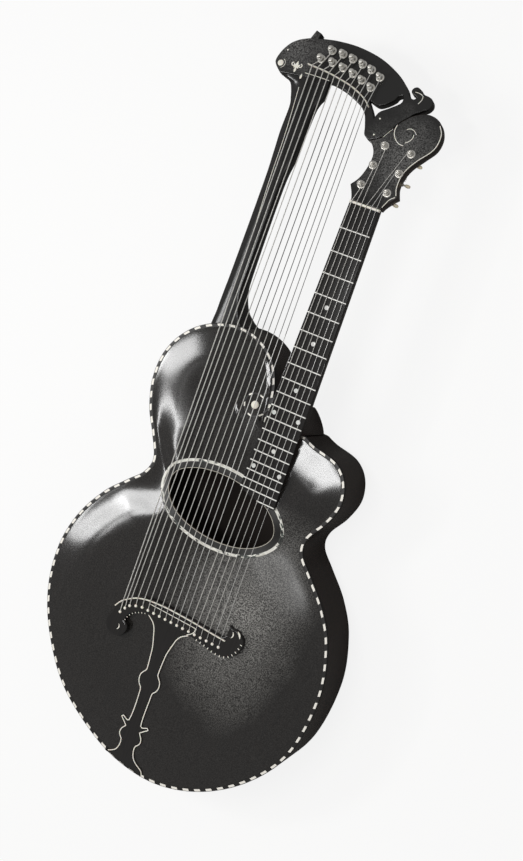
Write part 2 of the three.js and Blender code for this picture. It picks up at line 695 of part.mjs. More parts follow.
// Where the six neck tuners stand, in the head plane: bass side from nut to top, then treble side
function tunerPlaces() {
  const [first, last] = inHead([TUNER_FIRST_SHARES, TUNER_LAST_SHARES]);
  const rows = [];
  for (const side of [-1, 1]) {
    for (let i = 0; i < NECK_COUNT / 2; i += 1) {
      const middle = first.clone().lerp(last, i / (NECK_COUNT / 2 - 1));
      rows.push({ side, x: middle.x + side * TUNER_SPREAD / 2, y: middle.y });
    }
  }
  return rows;
}

// Where the twelve bass pegs stand: string after string, from the inner and the outer row in turn
function pegPlaces() {
  const inner = inHead(INNER_PEG_SHARES);
  const outer = inHead(OUTER_PEG_SHARES);
  return inner.flatMap((place, i) => [place, outer[i]]);
}

// A flat head plate with a raised ferrule ring and a hole at each post
function headPlate(shape, curveSteps, places, holeRadius) {
  const settings = { depth: HEAD_THICK, bevelEnabled: false, curveSegments: curveSteps };
  const ferrule = rod(FERRULE_RADIUS, -HEAD_THICK / 2, FERRULE_HEIGHT, FERRULE_SIDES);
  const hole = rod(holeRadius, -HEAD_THICK * 2, HEAD_THICK, POST_SIDES);
  let solid = solidOf(new THREE.ExtrudeGeometry(shape, settings).translate(0, 0, -HEAD_THICK));
  for (const place of places) {
    solid = solid.add(ferrule.translate([place.x, place.y, 0]));
  }
  for (const place of places) {
    solid = solid.subtract(hole.translate([place.x, place.y, 0]));
  }
  const geometry = geometryOf(solid);
  geometry.applyMatrix4(headMatrix);
  return solidOf(geometry);
}

// Neck: heel, shaft, the tongue over the body and the head, in one piece
function makeNeck() {
  const back = JOINT_Y + CLEARANCE;
  const end = NUT_Y + NUT_LENGTH + CLEARANCE;
  const sections = [];
  const heel = [];
  for (let i = 0; i <= NECK_STEPS; i += 1) {
    const t = i / NECK_STEPS;
    const y = THREE.MathUtils.lerp(back, end, t);
    sections.push(shaftSection(y, boardHalf(y), THREE.MathUtils.lerp(SHAFT_DEPTH_HEEL, SHAFT_DEPTH_NUT, t)));
    const half = THREE.MathUtils.lerp(HEEL_FOOT_WIDTH / 2, boardHalf(back), t);
    const length = THREE.MathUtils.lerp(HEEL_FOOT_LENGTH, HEEL_LENGTH, t ** HEEL_SWEEP);
    heel.push(heelSection(NECK_TOP_Z - HEEL_DEPTH * (1 - t), half, length));
  }
  const shaft = solidOf(facingOut(loft(sections)));
  const edge = prism(insetLoop(outline, -CLEARANCE), 0, TOP_EDGE_Z + CLEARANCE);
  const tongue = prism(boardLoop(back + OVERRUN), TOP_EDGE_Z + CLEARANCE, NECK_TOP_Z).subtract(topRoom);
  const head = headPlate(neckHeadShape(), NECK_HEAD_STEPS, tunerPlaces(), NECK_POST_RADIUS + CLEARANCE);
  return shaft.add(solidOf(facingOut(loft(heel))).subtract(edge)).add(tongue).add(head);
}

// Nut between the fingerboard's end and the head
function makeNut() {
  const half = NUT_WIDTH / 2;
  const low = [NECK_X - half, NUT_Y, NECK_TOP_Z + CLEARANCE];
  return boxSolid(low, [NECK_X + half, NUT_Y + NUT_LENGTH, FRET_TOP_Z + NUT_RISE]);
}

// The harp head in its own plane, with its window
function harpHeadShape() {
  const outer = inHead(HARP_OUTER_SHARES);
  const inner = inHead(HARP_INNER_SHARES);
  const shift = new THREE.Vector2(-CLEARANCE, CLEARANCE);
  const seam = inHead(HEAD_SEAM_SHARES).map((point) => point.add(shift));
  const curl = inHead(HARP_CURL_SHARES);
  const shape = new THREE.Shape();
  shape.moveTo(outer[0].x, outer[0].y);
  shape.splineThru(outer.slice(1));
  for (const corner of inHead(HARP_FOOT_SHARES)) {
    shape.lineTo(corner.x, corner.y);
  }
  shape.splineThru(inHead(HARP_ARC_SHARES));
  shape.splineThru(inHead(HARP_NOTCH_SHARES));
  shape.splineThru([...curl.slice(0, -1), seam[0]]);
  shape.splineThru(seam.slice(1));
  shape.splineThru(inner.slice(1));
  const window = new THREE.Path();
  const sides = WINDOW_SHARES.map(inHead);
  window.moveTo(sides[0][0].x, sides[0][0].y);
  window.splineThru(sides[0].slice(1));
  window.splineThru(sides[1]);
  window.splineThru(sides[2]);
  shape.holes.push(window);
  return shape;
}

// A strip of even width along a curve, as a closed outline
function stripLoop(points, width, steps) {
  const curve = new THREE.SplineCurve(points);
  const sides = [[], []];
  for (let i = 0; i <= steps; i += 1) {
    const point = curve.getPointAt(i / steps);
    const tangent = curve.getTangentAt(i / steps);
    const normal = new THREE.Vector2(-tangent.y, tangent.x).multiplyScalar(width / 2);
    sides[0].push(point.clone().add(normal));
    sides[1].unshift(point.clone().sub(normal));
  }
  return [...sides[1], ...sides[0]];
}

// Bass nut: the curved bar on the harp head
function makeBassNut() {
  const loop = stripLoop(inHead(BASS_NUT_SHARES), BASS_NUT_WIDTH, BASS_NUT_STEPS);
  return geometryOf(prism(loop, CLEARANCE, BASS_NUT_HEIGHT)).applyMatrix4(headMatrix);
}

// One cross-section of the harp arm: flat in front, a bevel on the outer side, round behind
function armSection(y, left, right, front, back) {
  const section = [[right, front], [left + ARM_BEVEL, front], [left, front - ARM_BEVEL_DROP]];
  const cut = ARM_ROUND * (1 - Math.SQRT1_2);
  section.push([left, back + ARM_ROUND], [left + cut, back + cut], [left + ARM_ROUND, back]);
  section.push([right - ARM_ROUND, back], [right - cut, back + cut], [right, back + ARM_ROUND]);
  return section.map(([x, z]) => new THREE.Vector3(x, y, z));
}

// Harp arm from the rim of the bass bout up to the harp head
function makeArm() {
  const [seamLeft, seamRight] = inHead([HARP_OUTER_SHARES[0], HARP_INNER_SHARES.at(-1)]);
  const head = fromHead(seamRight.x, seamRight.y, 0);
  const footY = BODY_LENGTH * ARM_FOOT_SHARE;
  const footX = BODY_WIDTH * ARM_FOOT_X_SHARE;
  const headX = NECK_X + HEAD_WIDTH * ARM_HEAD_X_SHARE;
  const sections = ARM_SHARES.map(([t, leftShare, rightShare, depthShare]) => {
    const y = THREE.MathUtils.lerp(footY, head.y, t);
    const middle = THREE.MathUtils.lerp(footX, headX, t);
    const front = THREE.MathUtils.lerp(TOP_EDGE_Z, head.z, t);
    const sides = [middle - leftShare * ARM_WIDTH, middle + rightShare * ARM_WIDTH];
    return armSection(y, ...sides, front, front - depthShare * RIM_DEPTH);
  });
  const along = seamRight.clone().sub(seamLeft);
  const corners = [seamLeft.clone().sub(along), seamRight.clone().add(along)];
  const above = corners.map((point) => new THREE.Vector2(point.x, HEAD_HEIGHT)).reverse();
  const beyond = [...corners, ...above].map((point) => point.sub(new THREE.Vector2(0, CLEARANCE)));
  const cutter = geometryOf(prism(beyond, -RIM_DEPTH, RIM_DEPTH)).applyMatrix4(headMatrix);
  return solidOf(facingOut(loft(sections)))
    .subtract(prism(insetLoop(outline, -CLEARANCE), 0, crown))
    .subtract(solidOf(cutter));
}

const inBridge = (table) => placed(table, BRIDGE_WIDTH, BRIDGE_DEPTH, 0, SADDLE_Y);

// The bridge's outline: front edge, treble lobe, straight back where the strap meets it, bass lobe
function bridgeLoop() {
  const shape = new THREE.Shape();
  const [first, ...sides] = BRIDGE_SHARES.map(inBridge);
  shape.moveTo(first[0].x, first[0].y);
  shape.splineThru(first.slice(1));
  for (const side of sides) {
    shape.splineThru(side);
  }
  return shape.getPoints(BRIDGE_STEPS);
}

// Where the eighteen pins stand, bass side first
function pinPlaces() {
  const places = inBridge(BASS_PIN_SHARES);
  const row = places.at(-1).y + PIN_ROW_RISE;
  const count = BASS_COUNT + NECK_COUNT;
  for (let k = places.length; k < count; k += 1) {
    const place = k - count + (NECK_COUNT + 1) / 2;
    places.push(new THREE.Vector2(NECK_X + place * PIN_PITCH, row));
  }
  return places;
}

// Bridge on the arched soundboard, with the slot for the saddle and the heads of its pins
function makeBridge() {
  let solid = prism(bridgeLoop(), TOP_EDGE_Z, BRIDGE_TOP_Z).subtract(topRoom);
  const slot = stripLoop(inBridge(SADDLE_SHARES), SADDLE_WIDTH + CLEARANCE * 2, SADDLE_STEPS);
  solid = solid.subtract(prism(slot, BRIDGE_TOP_Z - SADDLE_SEAT - CLEARANCE, BRIDGE_TOP_Z + OVERRUN));
  const half = PIN_RISE / 2;
  const profile = [[0, -half], [PIN_RADIUS, -half], [PIN_RADIUS, half], [0, PIN_RISE]];
  for (const place of pinPlaces()) {
    solid = solid.add(solidOf(turned(profile, PIN_SIDES).translate(place.x, place.y, BRIDGE_TOP_Z)));
  }
  return solid;
}

// Saddle strip, standing in its slot
function makeSaddle() {
  const loop = stripLoop(inBridge(SADDLE_SHARES), SADDLE_WIDTH, SADDLE_STEPS);
  return prism(loop, BRIDGE_TOP_Z - SADDLE_SEAT, BRIDGE_TOP_Z + SADDLE_RISE);
}

// Tail strap: the leaf-shaped stem from the bridge to the tail edge, lying on the soundboard
function makeStrap() {
  const top = inBridge([STRAP_TOP_SHARES])[0].y - CLEARANCE;
  const sideOf = (sign) => (
    STRAP_SHARES.map((run) => placed(run, sign * STRAP_LENGTH, -STRAP_LENGTH, STRAP_X, top)));
  const shape = new THREE.Shape();
  const right = sideOf(1);
  const left = sideOf(-1).reverse().map((run) => run.reverse());
  shape.moveTo(right[0][0].x, right[0][0].y);
  shape.splineThru(right[0].slice(1));
  for (const run of right.slice(1)) {
    shape.splineThru(run);
  }
  shape.lineTo(left[0][0].x, left[0][0].y);
  left.forEach((run, i) => {
    const next = left[i + 1];
    shape.splineThru(next ? [...run.slice(1), next[0]] : run.slice(1));
  });
  const face = (share) => topHeight(share) + CLEARANCE + STRAP_THICK;
  const skin = plateSolid(outline, face, () => TOP_EDGE_Z + CLEARANCE);
  return prism(shape.getPoints(STRAP_STEPS), TOP_EDGE_Z, crown + OVERRUN).intersect(skin).subtract(topRoom);
}

const coilGaps = [];

// The turns of a string round its post, and the last straight point before them, in the head plane
function coilPoints(from, place, side, postRadius, rise, radius) {
  const reach = (postRadius + CLEARANCE + radius) / Math.cos(Math.PI / COIL_STEPS);
  const away = from.clone().sub(place);
  const start = away.angle() + side * Math.acos(reach / away.length());
  const pitch = radius * 2 + COIL_GAP;
  const points = [];
  for (let i = 0; i <= COIL_TURNS * COIL_STEPS; i += 1) {
    const turn = i / COIL_STEPS;
    const angle = start + side * 2 * Math.PI * turn;
    const flat = new THREE.Vector2(Math.cos(angle), Math.sin(angle)).multiplyScalar(reach).add(place);
    points.push(new THREE.Vector3(flat.x, flat.y, rise + pitch * turn));
  }
  for (let i = 0; i < points.length; i += 1) {
    for (let j = i + COIL_STEPS - 1; j < points.length; j += 1) {
      coilGaps.push(points[i].distanceTo(points[j]) - radius * 2);
    }
  }
  return points.map((point) => fromHead(point.x, point.y, point.z));
}

// A string's stretch on the bridge: from in front of its pin over the saddle
function saddlePoints(pin, radius) {
  const saddle = new THREE.SplineCurve(inBridge(SADDLE_SHARES)).getSpacedPoints(SADDLE_SEARCH);
  const nearest = saddle.reduce((best, p) => (Math.abs(p.x - pin.x) < Math.abs(best.x - pin.x) ? p : best));
  const start = pin.y + PIN_RADIUS + CLEARANCE;
  return [
    new THREE.Vector3(pin.x, start, BRIDGE_TOP_Z + CLEARANCE + radius),
    new THREE.Vector3(pin.x, nearest.y, BRIDGE_TOP_Z + SADDLE_RISE + CLEARANCE + radius),
  ];
}

// The twelve bass strings: bridge, bass nut and peg
function addBassStrings() {
  const pins = pinPlaces();
  const nut = new THREE.SplineCurve(inHead(BASS_NUT_SHARES));
  pegPlaces().forEach((place, k) => {
    const share = k / (BASS_COUNT - 1);
    const radius = THREE.MathUtils.lerp(...BASS_STRING_RADII, share);
    const over = nut.getPointAt(THREE.MathUtils.lerp(...NUT_RUN_SHARES, share));
    const crossing = fromHead(over.x, over.y, BASS_NUT_HEIGHT + CLEARANCE + radius);
    const coil = coilPoints(over, place, 1, BASS_POST_RADIUS, BASS_COIL_RISE, radius);
    const path = [...saddlePoints(pins[k], radius), crossing, ...coil];
    addPiece(`string_bass_${String(k + 1).padStart(2, '0')}`, wire(path, radius, STRING_SIDES), STEEL);
  });
}

// The six neck strings: bridge, nut and tuner post
function addNeckStrings() {
  const pins = pinPlaces().slice(BASS_COUNT);
  const posts = tunerPlaces();
  const order = [...posts.slice(0, NECK_COUNT / 2), ...posts.slice(NECK_COUNT / 2).reverse()];
  order.forEach((place, k) => {
    const share = k / (NECK_COUNT - 1);
    const radius = THREE.MathUtils.lerp(...NECK_STRING_RADII, share);
    const x = NECK_X + (share - 1 / 2) * NUT_SPAN;
    const z = FRET_TOP_Z + NUT_RISE + CLEARANCE + radius;
    const crossings = [new THREE.Vector3(x, NUT_Y, z), new THREE.Vector3(x, NUT_Y + NUT_LENGTH, z)];
    const from = new THREE.Vector2(x, NUT_LENGTH);
    const coil = coilPoints(from, place, -place.side, NECK_POST_RADIUS, NECK_COIL_RISE, radius);
    const path = [...saddlePoints(pins[k], radius), ...crossings, ...coil];
    addPiece(`string_neck_${k + 1}`, wire(path, radius, STRING_SIDES), STEEL);
  });
}

// Bass pegs: a post through the head with a turning knob behind
function addBassPegs() {
  const behind = -HEAD_THICK - CLEARANCE;
  const shoulder = behind - BASS_COLLAR;
  const foot = shoulder - BASS_KNOB_LENGTH;
  const knob = BASS_KNOB_SHARES.map(([r, z]) => [r * BASS_KNOB_RADIUS, foot + z * BASS_KNOB_LENGTH]);
  const top = BASS_TOP_SHARES.map(([r, z]) => [r * BASS_POST_RADIUS, z * BASS_POST_RISE]);
  const collar = [[BASS_COLLAR_RADIUS, shoulder], [BASS_COLLAR_RADIUS, behind], [BASS_POST_RADIUS, behind]];
  const profile = [...knob, ...collar, ...top];
  pegPlaces().forEach((place, k) => {
    const peg = turned(profile, PEG_SIDES).translate(place.x, place.y, 0).applyMatrix4(headMatrix);
    addPiece(`bass_peg_${String(k + 1).padStart(2, '0')}`, peg, NICKEL);
  });
}

const plateZ = -HEAD_THICK - CLEARANCE - PLATE_THICK;
const gearZ = plateZ - CLEARANCE - WORM_PITCH_RADIUS - WORM_ADDENDUM;
const wormDrop = GEAR_PITCH_RADIUS + WORM_PITCH_RADIUS;
const wormHalf = WORM_PITCH * WORM_TURNS / 2;
const earInside = wormHalf + CLEARANCE;

// The gear's toothed outline: straight-sided teeth, with a gap facing the worm
function gearLoop() {
  const root = GEAR_PITCH_RADIUS - GEAR_DEDENDUM;
  const tip = GEAR_PITCH_RADIUS + GEAR_ADDENDUM;
  const tooth = 2 * Math.PI / GEAR_TEETH;
  const corners = [
    [-GEAR_ROOT_SHARE, root], [-GEAR_TIP_SHARE, tip], [GEAR_TIP_SHARE, tip], [GEAR_ROOT_SHARE, root],
  ];
  const loop = [];
  for (let n = 0; n < GEAR_TEETH; n += 1) {
    const middle = (n + 1 / 2) * tooth - Math.PI / 2;
    for (const [share, radius] of corners) {
      const angle = middle + share * tooth;
      loop.push(new THREE.Vector2(radius * Math.cos(angle), radius * Math.sin(angle)));
    }
  }
  return loop;
}

// A neck tuner's post: slotted top, shaft through the head, hub and gear behind
function postSolid() {
  const half = GEAR_THICK / 2;
  const hub = rod(NECK_POST_RADIUS + HUB_WALL, gearZ, plateZ - CLEARANCE, POST_SIDES);
  const shaft = rod(NECK_POST_RADIUS, gearZ - half - GEAR_NUT, NECK_POST_RISE, POST_SIDES);
  const slotLow = [-NECK_POST_RADIUS * 2, -POST_SLOT / 2, NECK_POST_RISE - POST_SLOT * 2];
  const slot = boxSolid(slotLow, [NECK_POST_RADIUS * 2, POST_SLOT / 2, NECK_POST_RISE + OVERRUN]);
  return shaft.subtract(slot).add(hub).add(prism(gearLoop(), gearZ - half, gearZ + half));
}

// The worm's thread: a wedge-shaped section carried along a right-handed helix about X
function threadSolid() {
  const inner = WORM_PITCH_RADIUS - WORM_DEDENDUM - THREAD_SEAT;
  const outer = WORM_PITCH_RADIUS + WORM_ADDENDUM;
  const sections = [];
  const count = WORM_TURNS * WORM_STEPS - WORM_STEPS / 2;
  for (let i = 0; i <= count; i += 1) {
    const turn = (i - count / 2) / WORM_STEPS;
    const angle = 2 * Math.PI * turn;
    const place = (radius, offset) => new THREE.Vector3(
      WORM_PITCH * (turn + offset), radius * Math.cos(angle), radius * Math.sin(angle));
    sections.push([
      place(inner, -THREAD_ROOT_SHARE), place(inner, THREAD_ROOT_SHARE),
      place(outer, THREAD_TIP_SHARE), place(outer, -THREAD_TIP_SHARE),
    ]);
  }
  return solidOf(facingOut(loft(sections)));
}

// A worm shaft with its thread and its button, which stands out on the given side
function wormSolid(side) {
  const core = WORM_PITCH_RADIUS - WORM_DEDENDUM;
  const end = earInside + EAR_THICK;
  const shaft = rod(SHAFT_RADIUS, -end - SHAFT_STUB, BUTTON_START + BUTTON_LENGTH / 2, WORM_STEPS);
  const body = rod(core, -wormHalf, wormHalf, WORM_STEPS);
  const profile = BUTTON_SHARES.map(([r, z]) => [r * BUTTON_WIDTH / 2, BUTTON_START + z * BUTTON_LENGTH]);
  const button = turned(profile, BUTTON_SIDES).scale(1, BUTTON_FLAT_SHARE, 1);
  const turnedRod = geometryOf(shaft.add(body).add(solidOf(button))).rotateY(side * Math.PI / 2);
  return solidOf(turnedRod).add(threadSolid());
}

// One bearing plate with its three post holes and six ears
function tunerPlate(places) {
  const first = places[0];
  const last = places.at(-1);
  const down = last.clone().sub(first).normalize();
  const start = first.clone().addScaledVector(down, -wormDrop - PLATE_END);
  const end = last.clone().addScaledVector(down, PLATE_END);
  const hole = rod(NECK_POST_RADIUS + CLEARANCE, plateZ * 2, 0, POST_SIDES);
  const bore = rod(SHAFT_RADIUS + CLEARANCE, -PLATE_WIDTH, PLATE_WIDTH, WORM_STEPS);
  const across = solidOf(geometryOf(bore).rotateY(Math.PI / 2));
  let solid = prism(stripLoop([start, end], PLATE_WIDTH, 1), plateZ, plateZ + PLATE_THICK);
  for (const place of places) {
    for (const side of [-1, 1]) {
      const x = place.x + side * (earInside + EAR_THICK / 2);
      const y = place.y - wormDrop;
      const low = [x - EAR_THICK / 2, y - EAR_WIDTH / 2, gearZ - EAR_WIDTH / 2];
      solid = solid.add(boxSolid(low, [x + EAR_THICK / 2, y + EAR_WIDTH / 2, plateZ + PLATE_THICK / 2]));
    }
    solid = solid.subtract(hole.translate([place.x, place.y, 0]));
    solid = solid.subtract(across.translate([place.x, place.y - wormDrop, gearZ]));
  }
  return solid;
}

// The two tuner sets on the back of the neck head
function addTuners() {
  const places = tunerPlaces();
  for (const [side, sideName] of [[-1, 'bass'], [1, 'treble']]) {
    const row = places.filter((place) => place.side === side);
    const plate = tunerPlate(row.map((place) => new THREE.Vector2(place.x, place.y)));
    addPiece(`tuner_plate_${sideName}`, geometryOf(plate).applyMatrix4(headMatrix), NICKEL);
    row.forEach((place, i) => {
      const name = `${sideName}_${i + 1}`;
      const post = geometryOf(postSolid()).translate(place.x, place.y, 0).applyMatrix4(headMatrix);
      addPiece(`tuner_post_${name}`, post, NICKEL);
      const worm = geometryOf(wormSolid(side)).translate(place.x, place.y - wormDrop, gearZ);
      addPiece(`tuner_worm_${name}`, worm.applyMatrix4(headMatrix), NICKEL);
    });
  }
}

const { neck: neckRoom, tail: tailRoom } = blockRooms(0);
addPiece('back_plate', geometryOf(makeBack()), MAHOGANY);
addPiece('rim', geometryOf(makeRim()), MAHOGANY);
addPiece('neck_block', geometryOf(makeBlock(neckRoom)), PALE_WOOD);
addPiece('tail_block', geometryOf(makeBlock(tailRoom)), PALE_WOOD);
addPiece('soundboard', geometryOf(makeSoundboard()), SPRUCE);
addPiece('soundhole_rosette', geometryOf(makeRosette()), PEARL);
addPiece('top_binding', makeBinding(), IVORY);
addPiece('neck', geometryOf(makeNeck()), MAHOGANY);
addPiece('fingerboard', geometryOf(makeFingerboard()), EBONY);
addPiece('nut', geometryOf(makeNut()), IVORY);
addPiece('harp_arm', geometryOf(makeArm()), LACQUER);
const harpHead = headPlate(harpHeadShape(), HARP_HEAD_STEPS, pegPlaces(), BASS_POST_RADIUS + CLEARANCE);
addPiece('harp_head', geometryOf(harpHead), LACQUER);
addPiece('bass_nut', makeBassNut(), IVORY);
addPiece('bridge', geometryOf(makeBridge()), EBONY);
addPiece('saddle', geometryOf(makeSaddle()), IVORY);
addPiece('tail_strap', geometryOf(makeStrap()), EBONY);
addBassStrings();
addNeckStrings();
addBassPegs();
addTuners();
console.log(`least gap between the turns of a string: ${Math.min(...coilGaps).toFixed(2)} mm`);

export default group;
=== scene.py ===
"""Harp guitar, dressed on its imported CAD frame.

The part frame has its origin in the middle of the flat crown of the back, +Z out of the soundboard, +Y
along the strings towards the heads and +X to the treble side. The head frame shares its X; its Y runs up the
face of the heads from the nut and its Z out of that face. Sizes are in millimetres and turn into metres when
a mesh is made.
"""
from __future__ import annotations

import logging
import math
from dataclasses import dataclass
from enum import Enum

import bmesh
import bpy
import numpy as np
from mathutils import Matrix, Vector
from mathutils.geometry import tessellate_polygon
from mathutils.kdtree import KDTree

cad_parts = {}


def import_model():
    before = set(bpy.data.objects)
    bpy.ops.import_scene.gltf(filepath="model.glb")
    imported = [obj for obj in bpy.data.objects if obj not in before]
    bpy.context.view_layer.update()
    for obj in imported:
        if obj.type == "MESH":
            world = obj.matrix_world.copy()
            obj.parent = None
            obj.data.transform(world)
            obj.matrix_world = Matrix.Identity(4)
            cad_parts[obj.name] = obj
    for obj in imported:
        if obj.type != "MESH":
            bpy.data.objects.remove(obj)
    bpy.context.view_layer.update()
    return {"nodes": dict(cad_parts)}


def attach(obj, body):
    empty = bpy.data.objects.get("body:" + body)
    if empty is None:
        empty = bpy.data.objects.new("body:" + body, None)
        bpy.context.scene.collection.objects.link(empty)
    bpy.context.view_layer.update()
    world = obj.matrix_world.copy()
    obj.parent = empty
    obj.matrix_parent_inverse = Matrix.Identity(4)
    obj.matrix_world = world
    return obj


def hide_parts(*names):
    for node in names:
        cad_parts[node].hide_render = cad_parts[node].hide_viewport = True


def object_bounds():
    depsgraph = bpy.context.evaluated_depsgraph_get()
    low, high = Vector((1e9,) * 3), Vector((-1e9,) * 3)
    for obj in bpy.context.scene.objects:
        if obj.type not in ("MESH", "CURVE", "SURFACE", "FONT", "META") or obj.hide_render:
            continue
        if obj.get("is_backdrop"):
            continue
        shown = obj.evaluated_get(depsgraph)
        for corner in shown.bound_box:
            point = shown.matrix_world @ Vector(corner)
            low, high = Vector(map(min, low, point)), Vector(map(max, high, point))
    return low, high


Array = np.ndarray
Material = bpy.types.Material
Socket = bpy.types.NodeSocket

LOG = logging.getLogger("harp_guitar")
MM = 0.001
ROOT = "instrument"

SCALE_LENGTH = 692.0
BODY_WIDTH = 518.0
BODY_LENGTH = 749.0
NECK_X = 53.0
SADDLE_Y = -0.16 * BODY_LENGTH
NUT_Y = SADDLE_Y + SCALE_LENGTH
NUT_DEPTH = 4.0
JOINT_Y = 0.291 * BODY_LENGTH
BACK_EDGE_Z = 12.0
TOP_EDGE_Z = 112.0
TOP_ARCH = 14.0
FRET_TOP_Z = 132.0
BOARD_TOP_Z = 131.0
NECK_TOP_Z = 124.7
HEAD_WIDTH = 267.0
HEAD_HEIGHT = 228.0
HEAD_THICK = 16.0
HEAD_PITCH = math.radians(8.5)
FACE_Z = 128.0
BRIDGE_TOP_Z = 134.0
BRIDGE_WIDTH = 237.0
BRIDGE_DEPTH = 104.0
GAP = 0.3
HOLE_CENTRE = np.array([-3.0, 61.0])
HOLE_HALVES = np.array([99.0, 51.0])
HOLE_TURN = math.radians(-3.0)
BINDING_WIDTH = 6.0
INLAY_DEPTH = 0.4
DOUBLED = 0.002
NO_LENGTH = 0.001


def shares(text: str, width: float = 1.0, height: float = 1.0, x: float = 0.0,
           y: float = 0.0) -> Array:
    """Points in millimetres from pairs of shares of a width and a height, written as text; without a width
    and a height the pairs are millimetres themselves."""
    pairs = np.array(text.replace(",", " ").split(), float).reshape(-1, 2)
    return pairs * (width, height) + (x, y)


def head_points(text: str) -> Array:
    """Points in the head plane, in millimetres, from shares of the head's width and height."""
    return shares(text, HEAD_WIDTH, HEAD_HEIGHT, NECK_X, 0.0)


def spline(points: Array, steps: int = 12) -> Array:
    """Catmull-Rom curve through points.

    Between points b and c, with neighbours a and d, the curve is the cubic with slopes (c - a) / 2 at b
    and (d - b) / 2 at c; the first and last points stand in for their missing neighbours.

    Args:
        points: the points to pass through, one row each.
        steps: samples per span.

    Returns:
        The sampled curve, with the last point included.
    """
    padded = np.vstack([points[:1], points, points[-1:]])
    a, b, c, d = (padded[k : len(padded) - 3 + k, None, :] for k in range(4))
    t = np.linspace(0.0, 1.0, steps, endpoint=False)[None, :, None]
    slope_b, slope_c = (c - a) / 2, (d - b) / 2
    curve = (2 * b - 2 * c + slope_b + slope_c) * t**3 + (3 * c - 3 * b - 2 * slope_b - slope_c) * t**2
    curve = curve + slope_b * t + b
    return np.vstack([curve.reshape(-1, points.shape[1]), points[-1:]])


def quadratic(a: Array, b: Array, c: Array, steps: int = 10) -> Array:
    """Quadratic curve from a to c that bends towards b: (1-t)^2 a + 2t(1-t) b + t^2 c."""
    t = np.linspace(0.0, 1.0, steps + 1)[:, None]
    return (1 - t) ** 2 * a + 2 * t * (1 - t) * b + t**2 * c


def run_length(points: Array) -> Array:
    """Distance travelled along a polyline up to each of its points."""
    return np.concatenate([[0.0], np.cumsum(np.linalg.norm(np.diff(points, axis=0), axis=1))])


def resample(points: Array, count: int) -> Array:
    """A polyline's points moved to equal distances along it."""
    run = run_length(points)
    wanted = np.linspace(0.0, run[-1], count)
    return np.stack([np.interp(wanted, run, column) for column in points.T], axis=1)


def even_curve(points: Array, count: int) -> Array:
    """A smooth curve through points, as a number of points at equal distances."""
    return resample(spline(points), count)


def headings(angles: Array) -> Array:
    """Unit vectors in the plane at the given angles."""
    return np.stack([np.cos(angles), np.sin(angles)], axis=-1)


def circle(radius: float, sides: int) -> Array:
    """A circle about the origin as flat points."""
    return radius * headings(np.linspace(0.0, 2 * np.pi, sides, endpoint=False))


def leftwards(along: Array) -> Array:
    """Flat directions turned a quarter turn to the left."""
    return np.stack([-along[..., 1], along[..., 0]], axis=-1)


def paired(first: Array, second: Array) -> Array:
    """Two arrays of values, spread to one shape and paired on a last axis."""
    return np.stack(np.broadcast_arrays(first, second), axis=-1)


def inset(loop: Array, distance: float, sharpest: float = 0.4) -> Array:
    """A closed counter-clockwise outline moved inwards along the mitre of its corners."""
    a = loop - np.roll(loop, 1, axis=0)
    b = np.roll(loop, -1, axis=0) - loop
    a /= np.linalg.norm(a, axis=1, keepdims=True)
    b /= np.linalg.norm(b, axis=1, keepdims=True)
    reach = distance / np.maximum(1 + np.sum(a * b, axis=1), sharpest)
    return loop + leftwards(a + b) * reach[:, None]


def clean_loop(loop: Array, least: float = 0.05) -> Array:
    """A closed outline without its doubled points, turned counter-clockwise."""
    keep = np.linalg.norm(loop - np.roll(loop, 1, axis=0), axis=1) > least
    loop = loop[keep]
    x, y = loop.T
    area = np.sum(x * np.roll(y, -1) - np.roll(x, -1) * y)
    return loop if area > 0 else loop[::-1]


def smoothstep(t: Array) -> Array:
    """3t^2 - 2t^3 with t held between 0 and 1."""
    t = np.clip(t, 0.0, 1.0)
    return t * t * (3 - 2 * t)


def from_head(points: Array) -> Array:
    """Points of the head frame in the part frame: pitched back by the head angle about the nut."""
    x, y, z = np.moveaxis(np.asarray(points, float), -1, 0)
    s, c = math.sin(HEAD_PITCH), math.cos(HEAD_PITCH)
    return np.stack([x, NUT_Y + y * c + z * s, FACE_Z - y * s + z * c], axis=-1)


def to_head(points: Array) -> Array:
    """Points of the part frame in the head frame."""
    x, y, z = np.moveaxis(points, -1, 0)
    s, c = math.sin(HEAD_PITCH), math.cos(HEAD_PITCH)
    return np.stack([x, (y - NUT_Y) * c - (z - FACE_Z) * s, (y - NUT_Y) * s + (z - FACE_Z) * c], axis=-1)


def lifted(flat: Array, z: float | Array) -> Array:
    """Flat points given a height."""
    height = np.broadcast_to(np.asarray(z, float)[..., None], flat.shape[:-1] + (1,))
    return np.concatenate([flat, height], axis=-1)


